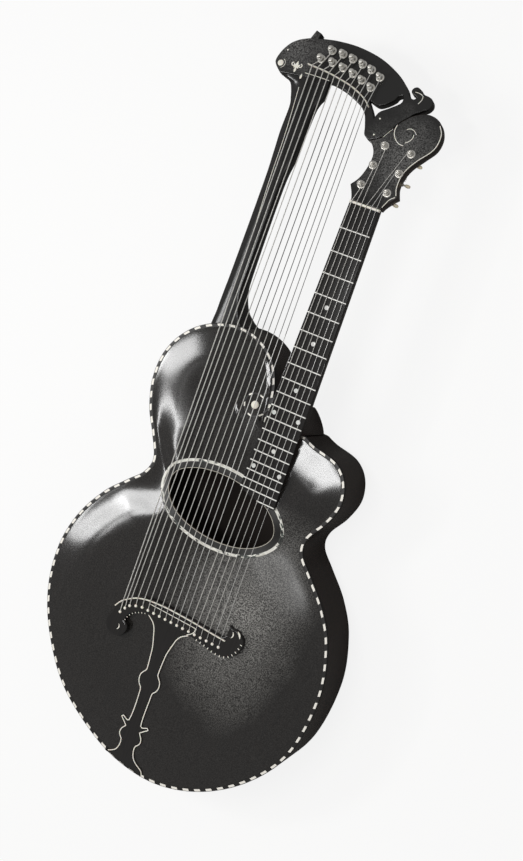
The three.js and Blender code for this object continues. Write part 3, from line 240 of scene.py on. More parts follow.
class Form:
    """Gathers grids and flat polygons in millimetres and makes one mesh object of them."""

    def __init__(self, name: str) -> None:
        """Starts an empty form of that name."""
        self.name = name
        self.parts: list[tuple[Array, ...]] = []
        self.count = 0

    def _store(self, points: Array, faces: Array, run: Array | None, flat: bool,
               slot: int) -> Form:
        """Adds points and faces that all have the same number of corners."""
        values = np.zeros((len(points), 2)) if run is None else run.reshape(-1, 2)
        of_faces = [np.full(len(faces), value) for value in (faces.shape[1], flat, slot)]
        self.parts.append((points, values, faces.ravel() + self.count, *of_faces))
        self.count += len(points)
        return self

    def grid(self, points: Array, around: bool = False, run: Array | None = None,
             slot: int = 0) -> Form:
        """Adds a surface over a grid of points.

        Args:
            points: rows by columns by 3, in millimetres.
            around: the last column joins the first.
            run: rows by columns by 2 values kept on the points for the materials.
            slot: the number of the material.

        Returns:
            The form.
        """
        rows, columns = points.shape[:2]
        i, j = np.meshgrid(np.arange(rows - 1), np.arange(columns if around else columns - 1), indexing="ij")
        right = (j + 1) % columns
        here, below = i * columns, (i + 1) * columns
        faces = np.stack([here + j, here + right, below + right, below + j], axis=-1)
        return self._store(points.reshape(-1, 3), faces.reshape(-1, 4), run, False, slot)

    def cap(self, ring: Array, run: Array | None = None, slot: int = 0) -> Form:
        """Closes a ring with triangles to its middle point."""
        count = len(ring)
        points = np.vstack([ring, ring.mean(axis=0)])
        index = np.arange(count)
        faces = np.stack([index, (index + 1) % count, np.full(count, count)], axis=-1)
        values = None if run is None else np.vstack([run.reshape(-1, 2), run.reshape(-1, 2).mean(axis=0)])
        return self._store(points, faces, values, False, slot)

    def tube(self, points: Array, run: Array | None = None, slot: int = 0) -> Form:
        """Adds a grid closed round its columns, with a cap at each end."""
        self.grid(points, around=True, run=run, slot=slot)
        for end in (0, -1):
            self.cap(points[end], None if run is None else run[end], slot)
        return self

    def stud(self, points: Array, slot: int = 0) -> Form:
        """Adds a grid closed round its columns, with a cap at its last row."""
        return self.grid(points, around=True, slot=slot).cap(points[-1], slot=slot)

    def sheet(self, loops: list[Array], slot: int = 0) -> Form:
        """Fills a flat outline, less its holes, given as loops of points."""
        faces = np.array(tessellate_polygon([[Vector(p) for p in loop] for loop in loops]))
        return self._store(np.vstack(loops), faces, None, True, slot)

    def _mesh(self) -> bpy.types.Mesh:
        """The gathered faces as one mesh in metres, its points carrying their two values."""
        points, values, loops, sizes, flats, slots = (np.concatenate(rows) for rows in zip(*self.parts))
        mesh = bpy.data.meshes.new(self.name)
        mesh.vertices.add(len(points))
        mesh.vertices.foreach_set("co", (points * MM).astype(np.float32).ravel())
        mesh.loops.add(len(loops))
        mesh.loops.foreach_set("vertex_index", loops.astype(np.int32))
        mesh.polygons.add(len(sizes))
        mesh.polygons.foreach_set("loop_start", (np.cumsum(sizes) - sizes).astype(np.int32))
        mesh.polygons.foreach_set("use_smooth", ~flats)
        mesh.polygons.foreach_set("material_index", slots.astype(np.int32))
        mesh.update(calc_edges=True)
        for title, column in zip(("run", "across"), values.T):
            layer = mesh.attributes.new(title, "FLOAT", "POINT")
            layer.data.foreach_set("value", column.astype(np.float32))
        return mesh

    def build(self, finishes: list[Material], body: str, replaced: tuple[str, ...] = (),
              slot: str = "", crease: float = 40.0) -> None:
        """Makes the mesh object, dresses it and lets it ride on a body.

        Doubled points are merged, faces turned outwards and edges marked sharp before it is dressed.

        Args:
            finishes: the materials, by slot number.
            body: the CAD body it moves with.
            replaced: the CAD nodes it stands for.
            slot: the record's material slot; not used.
            crease: edges sharper than this many degrees stay sharp.
        """
        mesh = self._mesh()
        work = bmesh.new()
        work.from_mesh(mesh)
        bmesh.ops.remove_doubles(work, verts=work.verts, dist=DOUBLED * MM)
        bmesh.ops.dissolve_degenerate(work, edges=work.edges, dist=NO_LENGTH * MM)
        bmesh.ops.recalc_face_normals(work, faces=work.faces)
        work.to_mesh(mesh)
        work.free()
        smooth = np.empty(len(mesh.polygons), bool)
        mesh.polygons.foreach_get("use_smooth", smooth)
        mesh.set_sharp_from_angle(angle=math.radians(crease))
        mesh.polygons.foreach_set("use_smooth", smooth)
        for finish in finishes:
            mesh.materials.append(finish)
        piece = bpy.data.objects.new(self.name, mesh)
        bpy.context.scene.collection.objects.link(piece)
        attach(piece, body)
        if replaced:
            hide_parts(*replaced)
        LOG.info("%s: %d faces", self.name, len(mesh.polygons))


def sweep(path: Array, side: Array, up: Array, profile: Array) -> Array:
    """Carries a profile along a path.

    Args:
        path: the path's points, n by 3.
        side: unit vectors across the path, n by 3.
        up: unit vectors out of the surface, n by 3.
        profile: the profile's points as (across, up) pairs, m by 2.

    Returns:
        Points n by m by 3: path + side * across + up * height.
    """
    across, height = profile[None, :, :1], profile[None, :, 1:]
    return path[:, None, :] + side[:, None, :] * across + up[:, None, :] * height


def tangents(path: Array) -> Array:
    """Unit directions along a path, each from the point before to the point after."""
    step = np.gradient(path, axis=0)
    return step / np.linalg.norm(step, axis=1, keepdims=True)


def strip(curve: Array, base: float | Array, profile: Array) -> Array:
    """A profile of (across, up) pairs carried upright along a flat curve at a base height."""
    side = lifted(leftwards(tangents(curve)), 0.0)
    up = np.broadcast_to([0.0, 0.0, 1.0], side.shape)
    return sweep(lifted(curve, base), side, up, profile)


def wire(path: Array, radius: float, sides: int, normal: Array) -> Array:
    """Round wire along a path: at each point, a circle in the plane square to the path, set out from the
    cross product of the path's direction and a fixed normal that the path never follows."""
    along = tangents(path)
    side = np.cross(along, normal)
    side /= np.linalg.norm(side, axis=1, keepdims=True)
    return sweep(path, side, np.cross(side, along), circle(radius, sides))


def lathe(profile: Array, steps: int) -> Array:
    """A turned surface about Z: each (radius, height) pair becomes a circle of points."""
    angle = np.linspace(0.0, 2 * np.pi, steps, endpoint=False)
    return lifted(profile[:, :1, None] * headings(angle), profile[:, 1:])


def dome(radius: float, height: float, steps: int) -> Array:
    """The (radius, height) pairs of a quarter ellipse from its foot up, without its top point."""
    return (radius, height) * headings(np.linspace(0.0, np.pi / 2, steps)[:-1])


def rounded(profile: Array | list, steps: int = 4, cut: float = 0.35) -> Array:
    """A profile with its inner corners rounded: each becomes a quadratic bend that starts and ends the given
    share of the way along the shorter of its two sides."""
    profile = np.array(profile)
    out = [profile[:1]]
    for a, b, c in zip(profile[:-2], profile[1:-1], profile[2:]):
        before, after = np.linalg.norm(b - a), np.linalg.norm(c - b)
        reach = cut * min(before, after)
        out.append(quadratic(b + (a - b) / before * reach, b, b + (c - b) / after * reach, steps))
    out.append(profile[-1:])
    return np.vstack(out)


def ribbon(form: Form, flat: Array, width: float, base: float | Array, rise: float,
           in_head: bool = False, slot: int = 0) -> None:
    """Adds a low strip of inlay along a flat curve.

    Its section is let in below the surface, and its top is bevelled over the outer 40 % of each half.

    Args:
        form: the form that takes it.
        flat: the curve, n by 2.
        width: its width.
        base: the height of the surface under each point.
        rise: how far it stands proud.
        in_head: the curve is in the head frame.
        slot: the number of the material.
    """
    edge, level = width / 2, 0.6
    half = np.array([(edge * level, rise), (edge, rise * level), (edge, -INLAY_DEPTH)])
    points = strip(flat, base, np.vstack([half[::-1] * (-1, 1), half]))
    form.tube(from_head(points) if in_head else points, slot=slot)


def plate(form: Form, outline: Array, holes: list[Array], low: float, high: float, bend: float,
          soft: int = 5, face_slot: int = 0) -> None:
    """Adds a flat plate with rounded edges, in the head frame.

    The wall's profile is a quarter circle in, straight, and a quarter circle out, carried round each loop by
    its mitred inset, and the two faces are filled between the inset loops.

    Args:
        form: the form that takes it.
        outline: the outer loop, counter-clockwise.
        holes: loops of the holes, counter-clockwise.
        low: the height of the back face.
        high: the height of the front face.
        bend: the radius of the edges.
        soft: steps of each quarter circle.
        face_slot: the number of the front face's material.
    """
    angle = np.linspace(0.0, np.pi / 2, soft)
    inwards = bend * (1 - np.sin(angle))
    drop = bend * (1 - np.cos(angle))
    depths = np.concatenate([inwards, inwards[::-1]])
    heights = np.concatenate([high - drop, (low + drop)[::-1]])
    walls = []
    for loop, sign in [(outline, 1.0)] + [(hole, -1.0) for hole in holes]:
        rings = [lifted(inset(loop, sign * depth), height) for depth, height in zip(depths, heights)]
        walls.append(from_head(np.stack(rings)))
        form.grid(walls[-1], around=True)
    form.sheet([wall[0] for wall in walls], face_slot)
    form.sheet([wall[-1] for wall in walls])


@dataclass(frozen=True)
class Finish:
    """A finish before its pattern: sRGB colour, roughness, clear coat and whether it is bare metal."""

    name: str
    colour: str
    roughness: float = 0.5
    coat: float = 0.0
    metal: bool = False


# Nearly black lacquer, rubbed to a gloss on the top and a little softer on the other woods.
LACQUERED_SPRUCE = Finish("black lacquered spruce", "#161413", 0.13)
LACQUERED_MAHOGANY = Finish("black lacquered mahogany", "#1b1411", 0.22)
HEAD_LACQUER = Finish("black lacquered hardwood", "#141211", 0.22)
HEAD_VENEER = Finish("dyed burl veneer", "#1b1a19", 0.24)
# Dense black wood with a hand-polished sheen.
EBONY = Finish("ebony", "#131110", 0.12)
# Bare wood, browned with age, in the dark of the body; its colour is darkened further as painted shade.
SHADED_SPRUCE = Finish("aged spruce inside", "#3b2d1d", 0.8)
SHADED_MAHOGANY = Finish("aged mahogany inside", "#1c120d", 0.85)
CEDAR = Finish("bare cedar", "#96643c", 0.8)
# Polished ivory, creamy and a little soft in the light; the buttons are yellower.
IVORY = Finish("ivory", "#f8f4ea", 0.4)
BUTTON = Finish("ivory button", "#e6dcc0", 0.35, 0.3)
# Shell under a thin polish, and the same worn dull round the soundhole.
PEARL = Finish("mother of pearl", "#ebe9e2", 0.3, 0.3)
ROSETTE = Finish("worn pearl and ivory", "#dcdad2", 0.45)
# Old plating and wire: bright, but too worn to mirror.
NICKEL = Finish("nickel plate", "#e6e3dc", 0.36, metal=True)
STEEL = Finish("plain steel string", "#dcdbd8", 0.5, metal=True)
FRET = Finish("nickel silver fret wire", "#f6f5f0", 0.52, metal=True)
WOUND = Finish("silver wound string", "#dcdad5", 0.5, metal=True)
# Matt white paper.
FLOOR = Finish("studio floor", "#f2f1ee", 0.9)

COAT_ROUGHNESS = 0.08
ROPE_PERIOD = 21.0
ROSETTE_LINE = 0.8
ROSETTE_RING = (10.8, 15.6)
# Painted shade for the strings' free run over the open space.
GAP_SHADE_COLOUR = "#5d5b58"


class Spread(Enum):
    """Which way a wood's fibres run in the part frame: the noise scales along X, Y and Z, per metre."""

    LENGTHWISE = (650.0, 12.0, 650.0)
    CROSSWISE = (12.0, 650.0, 650.0)


def linear(colour: str) -> tuple[float, float, float, float]:
    """An sRGB hex colour as linear light, with full alpha."""
    codes = np.array([int(colour[k : k + 2], 16) for k in (1, 3, 5)]) / 255
    light = np.where(codes <= 0.04045, codes / 12.92, ((codes + 0.055) / 1.055) ** 2.4)
    return (*light.tolist(), 1.0)


class Shader:
    """Builds one procedural material round a Principled shader."""

    def __init__(self, finish: Finish) -> None:
        """Sets the sockets that stay uniform."""
        self.material = bpy.data.materials.new(finish.name)
        self.material.use_nodes = True
        self.tree = self.material.node_tree
        self.surface = self.tree.nodes["Principled BSDF"]
        uniform = {"Base Color": linear(finish.colour), "Roughness": finish.roughness,
                   "Metallic": float(finish.metal), "Coat Weight": finish.coat,
                   "Coat Roughness": COAT_ROUGHNESS}
        for socket, value in uniform.items():
            self.surface.inputs[socket].default_value = value

    def add(self, kind: str, *values: object, result: str = "", **settings: object) -> Socket:
        """Adds a node with its settings and links.

        Args:
            kind: its type, after the word ShaderNode, and the operation or data type that it is set to.
            values: what its shown sockets get, in their order: a socket is linked, hex text is a colour,
                None leaves a socket as it is, and any other value is set.
            result: the output that is wanted, if it isn't the first shown one.
            settings: the node's properties.

        Returns:
            The output.
        """
        kind, _, mode = kind.partition(" ")
        node = self.tree.nodes.new(f"ShaderNode{kind}")
        if mode:
            settings["data_type" if kind == "Mix" else "operation"] = mode
        for name, value in settings.items():
            setattr(node, name, value)
        for socket, value in zip([socket for socket in node.inputs if socket.enabled], values):
            if isinstance(value, Socket):
                self.tree.links.new(value, socket)
            elif value is not None:
                socket.default_value = linear(value) if isinstance(value, str) else value
        return node.outputs[result] if result else next(out for out in node.outputs if out.enabled)

    def link(self, source: Socket, socket: str) -> None:
        """Drives a socket of the surface."""
        self.tree.links.new(source, self.surface.inputs[socket])

    def coordinates(self, scale: tuple[float, float, float] = (1.0, 1.0, 1.0)) -> Socket:
        """Object coordinates in metres, times a scale."""
        return self.add("Mapping", self.add("TexCoord", result="Object"), None, None, scale)

    def uneven(self, scale: float, least: float, most: float) -> None:
        """Lets the roughness drift between two values with a noise of that scale per metre."""
        drift = self.add("TexNoise", self.coordinates(), scale, 2.0)
        self.link(self.add("MapRange", drift, 0.3, 0.7, least, most), "Roughness")


def wood(finish: Finish, spread: Spread, dark: str, contrast: float = 0.5,
         relief: float = 0.000012) -> Shader:
    """Straight-grained wood: fibres about 1.5 mm apart, from stretched noise, shown in colour and as a slight
    relief in metres."""
    shader = Shader(finish)
    fibres = shader.add("TexNoise", shader.coordinates(spread.value), 1.0, 5.0)
    share = shader.add("MapRange", fibres, 0.35, 0.65, 0.0, contrast)
    shader.link(shader.add("Mix RGBA", share, finish.colour, dark), "Base Color")
    shader.link(shader.add("Bump", 1.0, relief, None, fibres), "Normal")
    return shader


def spruce_top() -> Material:
    """Lacquered spruce top: fibres about 1.5 mm apart under the lacquer, whose orange peel breaks highlights
    into fine grains, and a worn, duller patch to the right of the bridge, whose speckled grey in the colour
    is a painted sheen.

    The patch lies within a stretched distance of its middle, made ragged by a slow noise.
    """
    middle, stretch, dull = (0.09, -0.085, 0.12), (1.0, 0.62, 0.0), 0.42
    shader = wood(LACQUERED_SPRUCE, Spread.LENGTHWISE, "#211d1a")
    place = shader.coordinates()
    fine = shader.add("TexNoise", place, 560.0, 3.0)
    slow = shader.add("TexNoise", place, 9.0, 2.0)
    offset = shader.add("VectorMath SUBTRACT", place, middle)
    squash = shader.add("VectorMath MULTIPLY", offset, stretch)
    reach = shader.add("Math ADD", shader.add("VectorMath LENGTH", squash),
                       shader.add("Math MULTIPLY", slow, 0.05))
    # The patch's grey speckle in the colour is a painted sheen; its higher roughness is real dull lacquer.
    worn = shader.add("MapRange", reach, 0.15, 0.03, 0.05, 1.0)
    speckle = shader.add("MapRange", fine, 0.4, 0.66, 0.0, 1.0)
    share = shader.add("Math MULTIPLY", worn, speckle)
    base = shader.surface.inputs["Base Color"].links[0].from_socket
    shader.link(shader.add("Mix RGBA", share, base, "#a3a19c"), "Base Color")
    shader.link(shader.add("MapRange", reach, 0.14, 0.08, LACQUERED_SPRUCE.roughness, dull), "Roughness")
    shader.link(shader.add("Bump", 1.0, 0.000018, None, fine), "Normal")
    return shader.material


def veneer() -> Material:
    """Dyed burl veneer: fine broken figure, a few millimetres across, that shows grey in two clouds, one in
    the middle of the neck head and one at the left end of the harp head, which is a painted sheen."""
    # The harp head's cloud is a painted sheen: grey where its face catches the light.
    clouds = (((0.075, 0.655, 0.11), 0.115), ((-0.155, 0.775, 0.11), 0.1))
    shader = Shader(HEAD_VENEER)
    place = shader.coordinates()
    ragged = shader.add("Math MULTIPLY", shader.add("TexNoise", place, 30.0, 3.0), 0.07)
    shown = []
    for middle, reach in clouds:
        away = shader.add("VectorMath DISTANCE", place, middle)
        edge = shader.add("Math ADD", away, ragged)
        shown.append(shader.add("MapRange", edge, reach, 0.04, 0.0, 1.0))
    cloud = shader.add("Math MAXIMUM", *shown)
    figure = shader.add("MapRange", shader.add("TexNoise", place, 480.0, 4.0), 0.38, 0.64, 0.0, 1.0)
    both = shader.add("Math MULTIPLY", cloud, figure)
    share = shader.add("Math MULTIPLY", both, 0.9)
    shader.link(shader.add("Mix RGBA", share, HEAD_VENEER.colour, "#7c7b79"), "Base Color")
    return shader.material


def ivory(finish: Finish = IVORY) -> Material:
    """Ivory with faint warm streaks across the strings, and a little light under its surface."""
    shader = Shader(finish)
    streaks = shader.add("TexNoise", shader.coordinates((60.0, 400.0, 60.0)), 1.0, 3.0)
    share = shader.add("MapRange", streaks, 0.3, 0.7, 0.0, 0.5)
    shader.link(shader.add("Mix RGBA", share, finish.colour, "#e6dcc3"), "Base Color")
    shader.surface.inputs["Subsurface Weight"].default_value = 0.05
    shader.surface.inputs["Subsurface Scale"].default_value = 0.002
    return shader.material


def rope(period: float, share: float, low: float, high: float) -> Material:
    """Rope purfling: slanted ivory dashes between dark ones, with a dark line along either edge.

    The points carry the distance along the strip and across it in millimetres. A dash is ivory where the
    fraction of (run + across / 3) / period is under its share.

    Args:
        period: the length of an ivory dash and the dark one after it, in millimetres.
        share: how much of the period is ivory.
        low: where the ivory starts across the strip, in millimetres.
        high: where it ends.

    Returns:
        The material.
    """
    shader = Shader(IVORY)
    run, across = (shader.add("Attribute", result="Fac", attribute_name=name) for name in ("run", "across"))
    slanted = shader.add("Math MULTIPLY_ADD", across, 0.33, run)
    turns = shader.add("Math DIVIDE", slanted, period)
    dash = shader.add("Math LESS_THAN", shader.add("Math FRACT", turns), share)
    inside = shader.add("Math MULTIPLY", shader.add("Math GREATER_THAN", across, low),
                        shader.add("Math LESS_THAN", across, high))
    shown = shader.add("Math MULTIPLY", dash, inside)
    shader.link(shader.add("Mix RGBA", shown, "#161311", IVORY.colour), "Base Color")
    return shader.material


def pearl() -> Material:
    """Mother of pearl: cells about 4 mm wide, each with its own faint pink, green or blue cast."""
    shader = Shader(PEARL)
    cells = shader.add("TexVoronoi", shader.coordinates(), 260.0, result="Color")
    colour = PEARL.colour
    tones = shader.add("SeparateColor", cells).node.outputs
    for tone, strength, cast in zip(tones, (0.3, 0.3, 0.2), ("#d8ccd2", "#cddad2", "#c4cedb")):
        share = shader.add("Math MULTIPLY", tone, strength)
        colour = shader.add("Mix RGBA", share, colour, cast)
    shader.link(colour, "Base Color")
    return shader.material


def rosette_inlay() -> Material:
    """Soundhole rosette: a fine ivory line by the hole, a wide dark band, and a thin ring of pearl pieces.

    The points carry the distance from the hole's edge and the distance round it, in millimetres. Pieces of
    the ring are cells over both, and a slow noise along the ring leaves out or darkens some of them.
    """
    shader = Shader(ROSETTE)
    across, run = (shader.add("Attribute", result="Fac", attribute_name=name) for name in ("across", "run"))
    place = shader.add("CombineXYZ", across, shader.add("Math MULTIPLY", run, 0.45))
    cells = shader.add("TexVoronoi", place, 0.42, None, None, None, 0.9, result="Color")
    tone = shader.add("SeparateColor", cells).node.outputs
    slow = shader.add("TexNoise", shader.coordinates(), 26.0, 1.0)
    limit = shader.add("MapRange", slow, 0.36, 0.54, 0.25, 1.05)
    kept = shader.add("Math LESS_THAN", tone[0], limit)
    piece = shader.add("Mix RGBA", tone[1], "#c9c4b9", "#fbf8f0")
    ring = shader.add("Mix RGBA", kept, "#1c1a18", piece)
    greenish = shader.add("Math MULTIPLY", tone[2], 0.2)
    ring = shader.add("Mix RGBA", greenish, ring, "#b9c7bd")
    by_hole = shader.add("Math LESS_THAN", across, ROSETTE_LINE)
    line = shader.add("Mix RGBA", by_hole, "#141210", "#d8d2c2")
    past_start = shader.add("Math GREATER_THAN", across, ROSETTE_RING[0])
    before_end = shader.add("Math LESS_THAN", across, ROSETTE_RING[1])
    on_ring = shader.add("Math MULTIPLY", past_start, before_end)
    shader.link(shader.add("Mix RGBA", on_ring, line, ring), "Base Color")
    return shader.material


def gap_shade(shader: Shader, colour: object) -> Socket:
    """A string's colour with painted shade: dark on the free run over the open space between arm and neck,
    where the strings look dark; a box with soft sides, as the product of four steps across and along the
    strings."""
    place = shader.add("SeparateXYZ", shader.coordinates()).node.outputs
    sides = (("Y", 0.34, 0.355, 0.0), ("Y", 0.67, 0.70, 1.0),
             ("X", -0.072, -0.064, 0.0), ("X", 0.02, 0.026, 1.0))
    share = None
    for axis, start, end, before in sides:
        step = shader.add("MapRange", place[axis], start, end, before, 1.0 - before)
        share = step if share is None else shader.add("Math MULTIPLY", share, step)
    return shader.add("Mix RGBA", share, colour, GAP_SHADE_COLOUR)


def metal(finish: Finish, is_string: bool = False) -> Material:
    """Plated metal with a faintly uneven polish, with painted shade where it is a string."""
    shader = Shader(finish)
    if is_string:
        # Painted shade on the string's free run over the open space.
        shader.link(gap_shade(shader, finish.colour), "Base Color")
    shader.uneven(700.0, finish.roughness - 0.05, finish.roughness + 0.08)
    return shader.material


def wound(turn: float) -> Material:
    """Wound string: rings of wrap wire along the string, one every turn millimetres, darker in between."""
    shader = Shader(WOUND)
    run = shader.add("Attribute", result="Fac", attribute_name="run")
    angle = shader.add("Math MULTIPLY", run, 2 * math.pi / turn)
    ridge = shader.add("Math SINE", angle)
    shader.link(shader.add("Bump", 0.4, 0.0001, None, ridge), "Normal")
    groove = shader.add("MapRange", ridge, -1.0, 0.2, 0.25, 0.0)
    wrap = shader.add("Mix RGBA", groove, WOUND.colour, "#8f8a80")
    # Painted shade on the free run, as on the plain strings.
    shader.link(gap_shade(shader, wrap), "Base Color")
    return shader.material


def plain(finish: Finish) -> Material:
    """A finish with no pattern of its own but a slightly uneven sheen."""
    shader = Shader(finish)
    shader.uneven(45.0, finish.roughness - 0.03, finish.roughness + 0.04)
    return shader.material


class Finishes:
    """Every material of the instrument, made once."""

    def __init__(self) -> None:
        """Makes them all."""
        self.top = spruce_top()
        self.mahogany = wood(LACQUERED_MAHOGANY, Spread.LENGTHWISE, "#271b15").material
        self.lacquer = plain(HEAD_LACQUER)
        self.veneer = veneer()
        self.ebony = wood(EBONY, Spread.LENGTHWISE, "#1f1c1a", 0.7, 0.000004).material
        self.spruce = wood(SHADED_SPRUCE, Spread.LENGTHWISE, "#2c2115").material
        self.inside = wood(SHADED_MAHOGANY, Spread.LENGTHWISE, "#150d09").material
        self.cedar = wood(CEDAR, Spread.CROSSWISE, "#7b4d2c").material
        self.ivory = ivory()
        self.button = ivory(BUTTON)
        self.binding = rope(ROPE_PERIOD, 0.5, 1.1, 4.7)
        self.spiral = rope(19.93, 0.33, 0.2, 2.6)
        self.pearl = pearl()
        self.rosette = rosette_inlay()
        self.nickel = metal(NICKEL)
        self.steel = metal(STEEL, is_string=True)
        self.fret = metal(FRET)
        self.wound = wound(0.45)


BODY_OUTLINE = """
0.207,0.281 0.284,0.268 0.330,0.238 0.347,0.191 0.326,0.142 0.288,0.097 0.290,0.063 0.338,0.027
0.407,-0.024 0.463,-0.091 0.497,-0.195 0.475,-0.330 0.388,-0.431 0.255,-0.507 0.100,-0.546
-0.060,-0.541 -0.205,-0.502 -0.335,-0.440 -0.440,-0.342 -0.492,-0.248 -0.500,-0.155 -0.470,-0.073
-0.410,-0.002 -0.345,0.046 -0.298,0.079 -0.283,0.115 -0.315,0.163 -0.355,0.214 -0.378,0.276
-0.369,0.340 -0.326,0.393 -0.259,0.430 -0.170,0.450 -0.085,0.443 -0.015,0.410 0.023,0.358
"""
EDGE_INSET = BINDING_WIDTH + GAP
PLATE_THICK = 4.8


class Nearest:
    """Distances from flat points to the nearest of a set of points."""

    def __init__(self, points: Array) -> None:
        """Balances a tree over the points."""
        self.tree = KDTree(len(points))
        for k, (x, y) in enumerate(points.tolist()):
            self.tree.insert((x, y, 0.0), k)
        self.tree.balance()

    def distance(self, flat: Array) -> Array:
        """The distance from each flat point, in the shape of the points."""
        found = [self.tree.find((x, y, 0.0))[2] for x, y in flat.reshape(-1, 2).tolist()]
        return np.array(found).reshape(flat.shape[:-1])


Table = tuple[Array, Array]


def radius_table(loop: Array) -> Table:
    """A loop's radius about the origin as a table over the angle, wrapped past both ends."""
    angle = np.arctan2(loop[:, 1], loop[:, 0])
    order = np.argsort(angle)
    angle, radius = angle[order], np.linalg.norm(loop, axis=1)[order]
    return np.concatenate([angle - 2 * np.pi, angle, angle + 2 * np.pi]), np.tile(radius, 3)


def radius_towards(flat: Array, table: Table) -> Array:
    """The tabled radius in the direction of each flat point."""
    return np.interp(np.arctan2(flat[..., 1], flat[..., 0]), *table)


def rays(loop: Array, centre: Array, angles: Array) -> Array:
    """Points of a loop in the given directions from a centre that sees all of it."""
    return centre + np.interp(angles, *radius_table(loop - centre))[:, None] * headings(angles)


@dataclass
class Outline:
    """The body's outline and the carved heights that follow from it."""

    joint_half: float = 35.0
    skin_inset: float = 0.4
    ledge_share: float = 0.03
    plateau_share: float = 0.36
    bout_line_y: float = 300.0
    shoulder_roll: float = 9.0
    recurve_rise: float = 4.2
    recurve_reach: float = 46.0
    recurve_sinks: tuple[float, float] = (54.0, 120.0)
    hole_margin: float = 16.0
    waists: tuple[tuple[float, float], ...] = ((-160.0, 150.0), (130.0, 15.0))
    waist_reach: tuple[float, float] = (75.0, 60.0)

    def __post_init__(self) -> None:
        """Samples the outline and its radius about the origin, and keeps the stretch beside the neck apart:
        x from -45 to 95 mm, above 200 mm."""
        ends = [(NECK_X + self.joint_half, JOINT_Y), (NECK_X - self.joint_half, JOINT_Y)]
        middle = shares(BODY_OUTLINE, BODY_WIDTH, BODY_LENGTH)
        curve = spline(np.vstack([ends[:1], middle, ends[1:]]), 20)
        joint = np.linspace(ends[1], ends[0], 40)[1:-1]
        self.loop = inset(clean_loop(np.vstack([resample(curve, 1100), joint])), self.skin_inset)
        x, y = self.loop.T
        beside_neck = (x > -45.0) & (x < 95.0) & (y > 200.0)
        self.near, self.beside = Nearest(self.loop[~beside_neck]), Nearest(self.loop[beside_neck])
        self.top = inset(self.loop, EDGE_INSET)
        self.top_radius = self._eased(radius_table(self.top))
        self.back_radius = radius_table(self.loop)

    def _eased(self, table: Table) -> Table:
        """The table with the step in radius beside the neck taken out: between 66 and 114 degrees it turns
        to the radius of a straight line across the body, so that the arch there falls along the strings
        only."""
        angle = np.linspace(-2 * np.pi, 2 * np.pi, 5761)
        radius = np.interp(angle, *table)
        level = self.bout_line_y / np.maximum(np.sin(angle), 0.3)
        degrees = np.degrees(angle)
        share = smoothstep((degrees - 66.0) / 6.0) * smoothstep((114.0 - degrees) / 16.0)
        return angle, radius + (level - radius) * share

    def _arch(self, flat: Array, table: Table) -> Array:
        """Share of the arch at flat points: a smooth step from the ledge in to the plateau, by the share of
        the way out from the origin."""
        share = np.linalg.norm(flat, axis=-1) / radius_towards(flat, table)
        return smoothstep((1 - self.ledge_share - share) / (1 - self.ledge_share - self.plateau_share))

    def _recurve(self, flat: Array) -> Array:
        """The carver's steeper rise from the edge, by the distance to the binding: it gains its height over
        its reach, fast at first, and sinks back in a smooth step further in. The stretch of the outline
        beside the neck has none, and it fades towards the soundhole and, as bells, at the two waists."""
        away = self.near.distance(flat) - EDGE_INSET
        start, end = self.recurve_sinks
        gain = 1 - (1 - np.clip(away / self.recurve_reach, 0.0, 1.0)) ** 1.8
        relief = self.recurve_rise * gain * (1 - smoothstep((away - start) / (end - start)))
        from_hole = np.linalg.norm((flat - HOLE_CENTRE) / (HOLE_HALVES + self.hole_margin), axis=-1)
        relief = relief * smoothstep((from_hole - 1.0) / 0.7)
        for waist in self.waists:
            bell = np.exp(-np.sum(((flat - waist) / self.waist_reach) ** 2, axis=-1))
            relief = relief * (1 - 0.8 * bell)
        return relief

    def top_z(self, flat: Array) -> Array:
        """Height of the soundboard's face: the edge plus the arch, which rolls off in a smooth step beside
        the neck, and the recurve."""
        roll = smoothstep((self.beside.distance(flat) - EDGE_INSET) / self.shoulder_roll)
        return TOP_EDGE_Z + TOP_ARCH * roll * self._arch(flat, self.top_radius) + self._recurve(flat)

    def back_z(self, flat: Array) -> Array:
        """Height of the back's outer face: its edge less the arch."""
        return BACK_EDGE_Z * (1 - self._arch(flat, self.back_radius))

    def held(self, flat: Array, margin: float) -> Array:
        """Flat points, kept so far inside the outline that grown by the margin they would reach it."""
        grown = flat * margin
        reach = radius_towards(grown, self.back_radius) / np.linalg.norm(grown, axis=-1)
        return grown * np.minimum(1.0, reach)[..., None] / margin


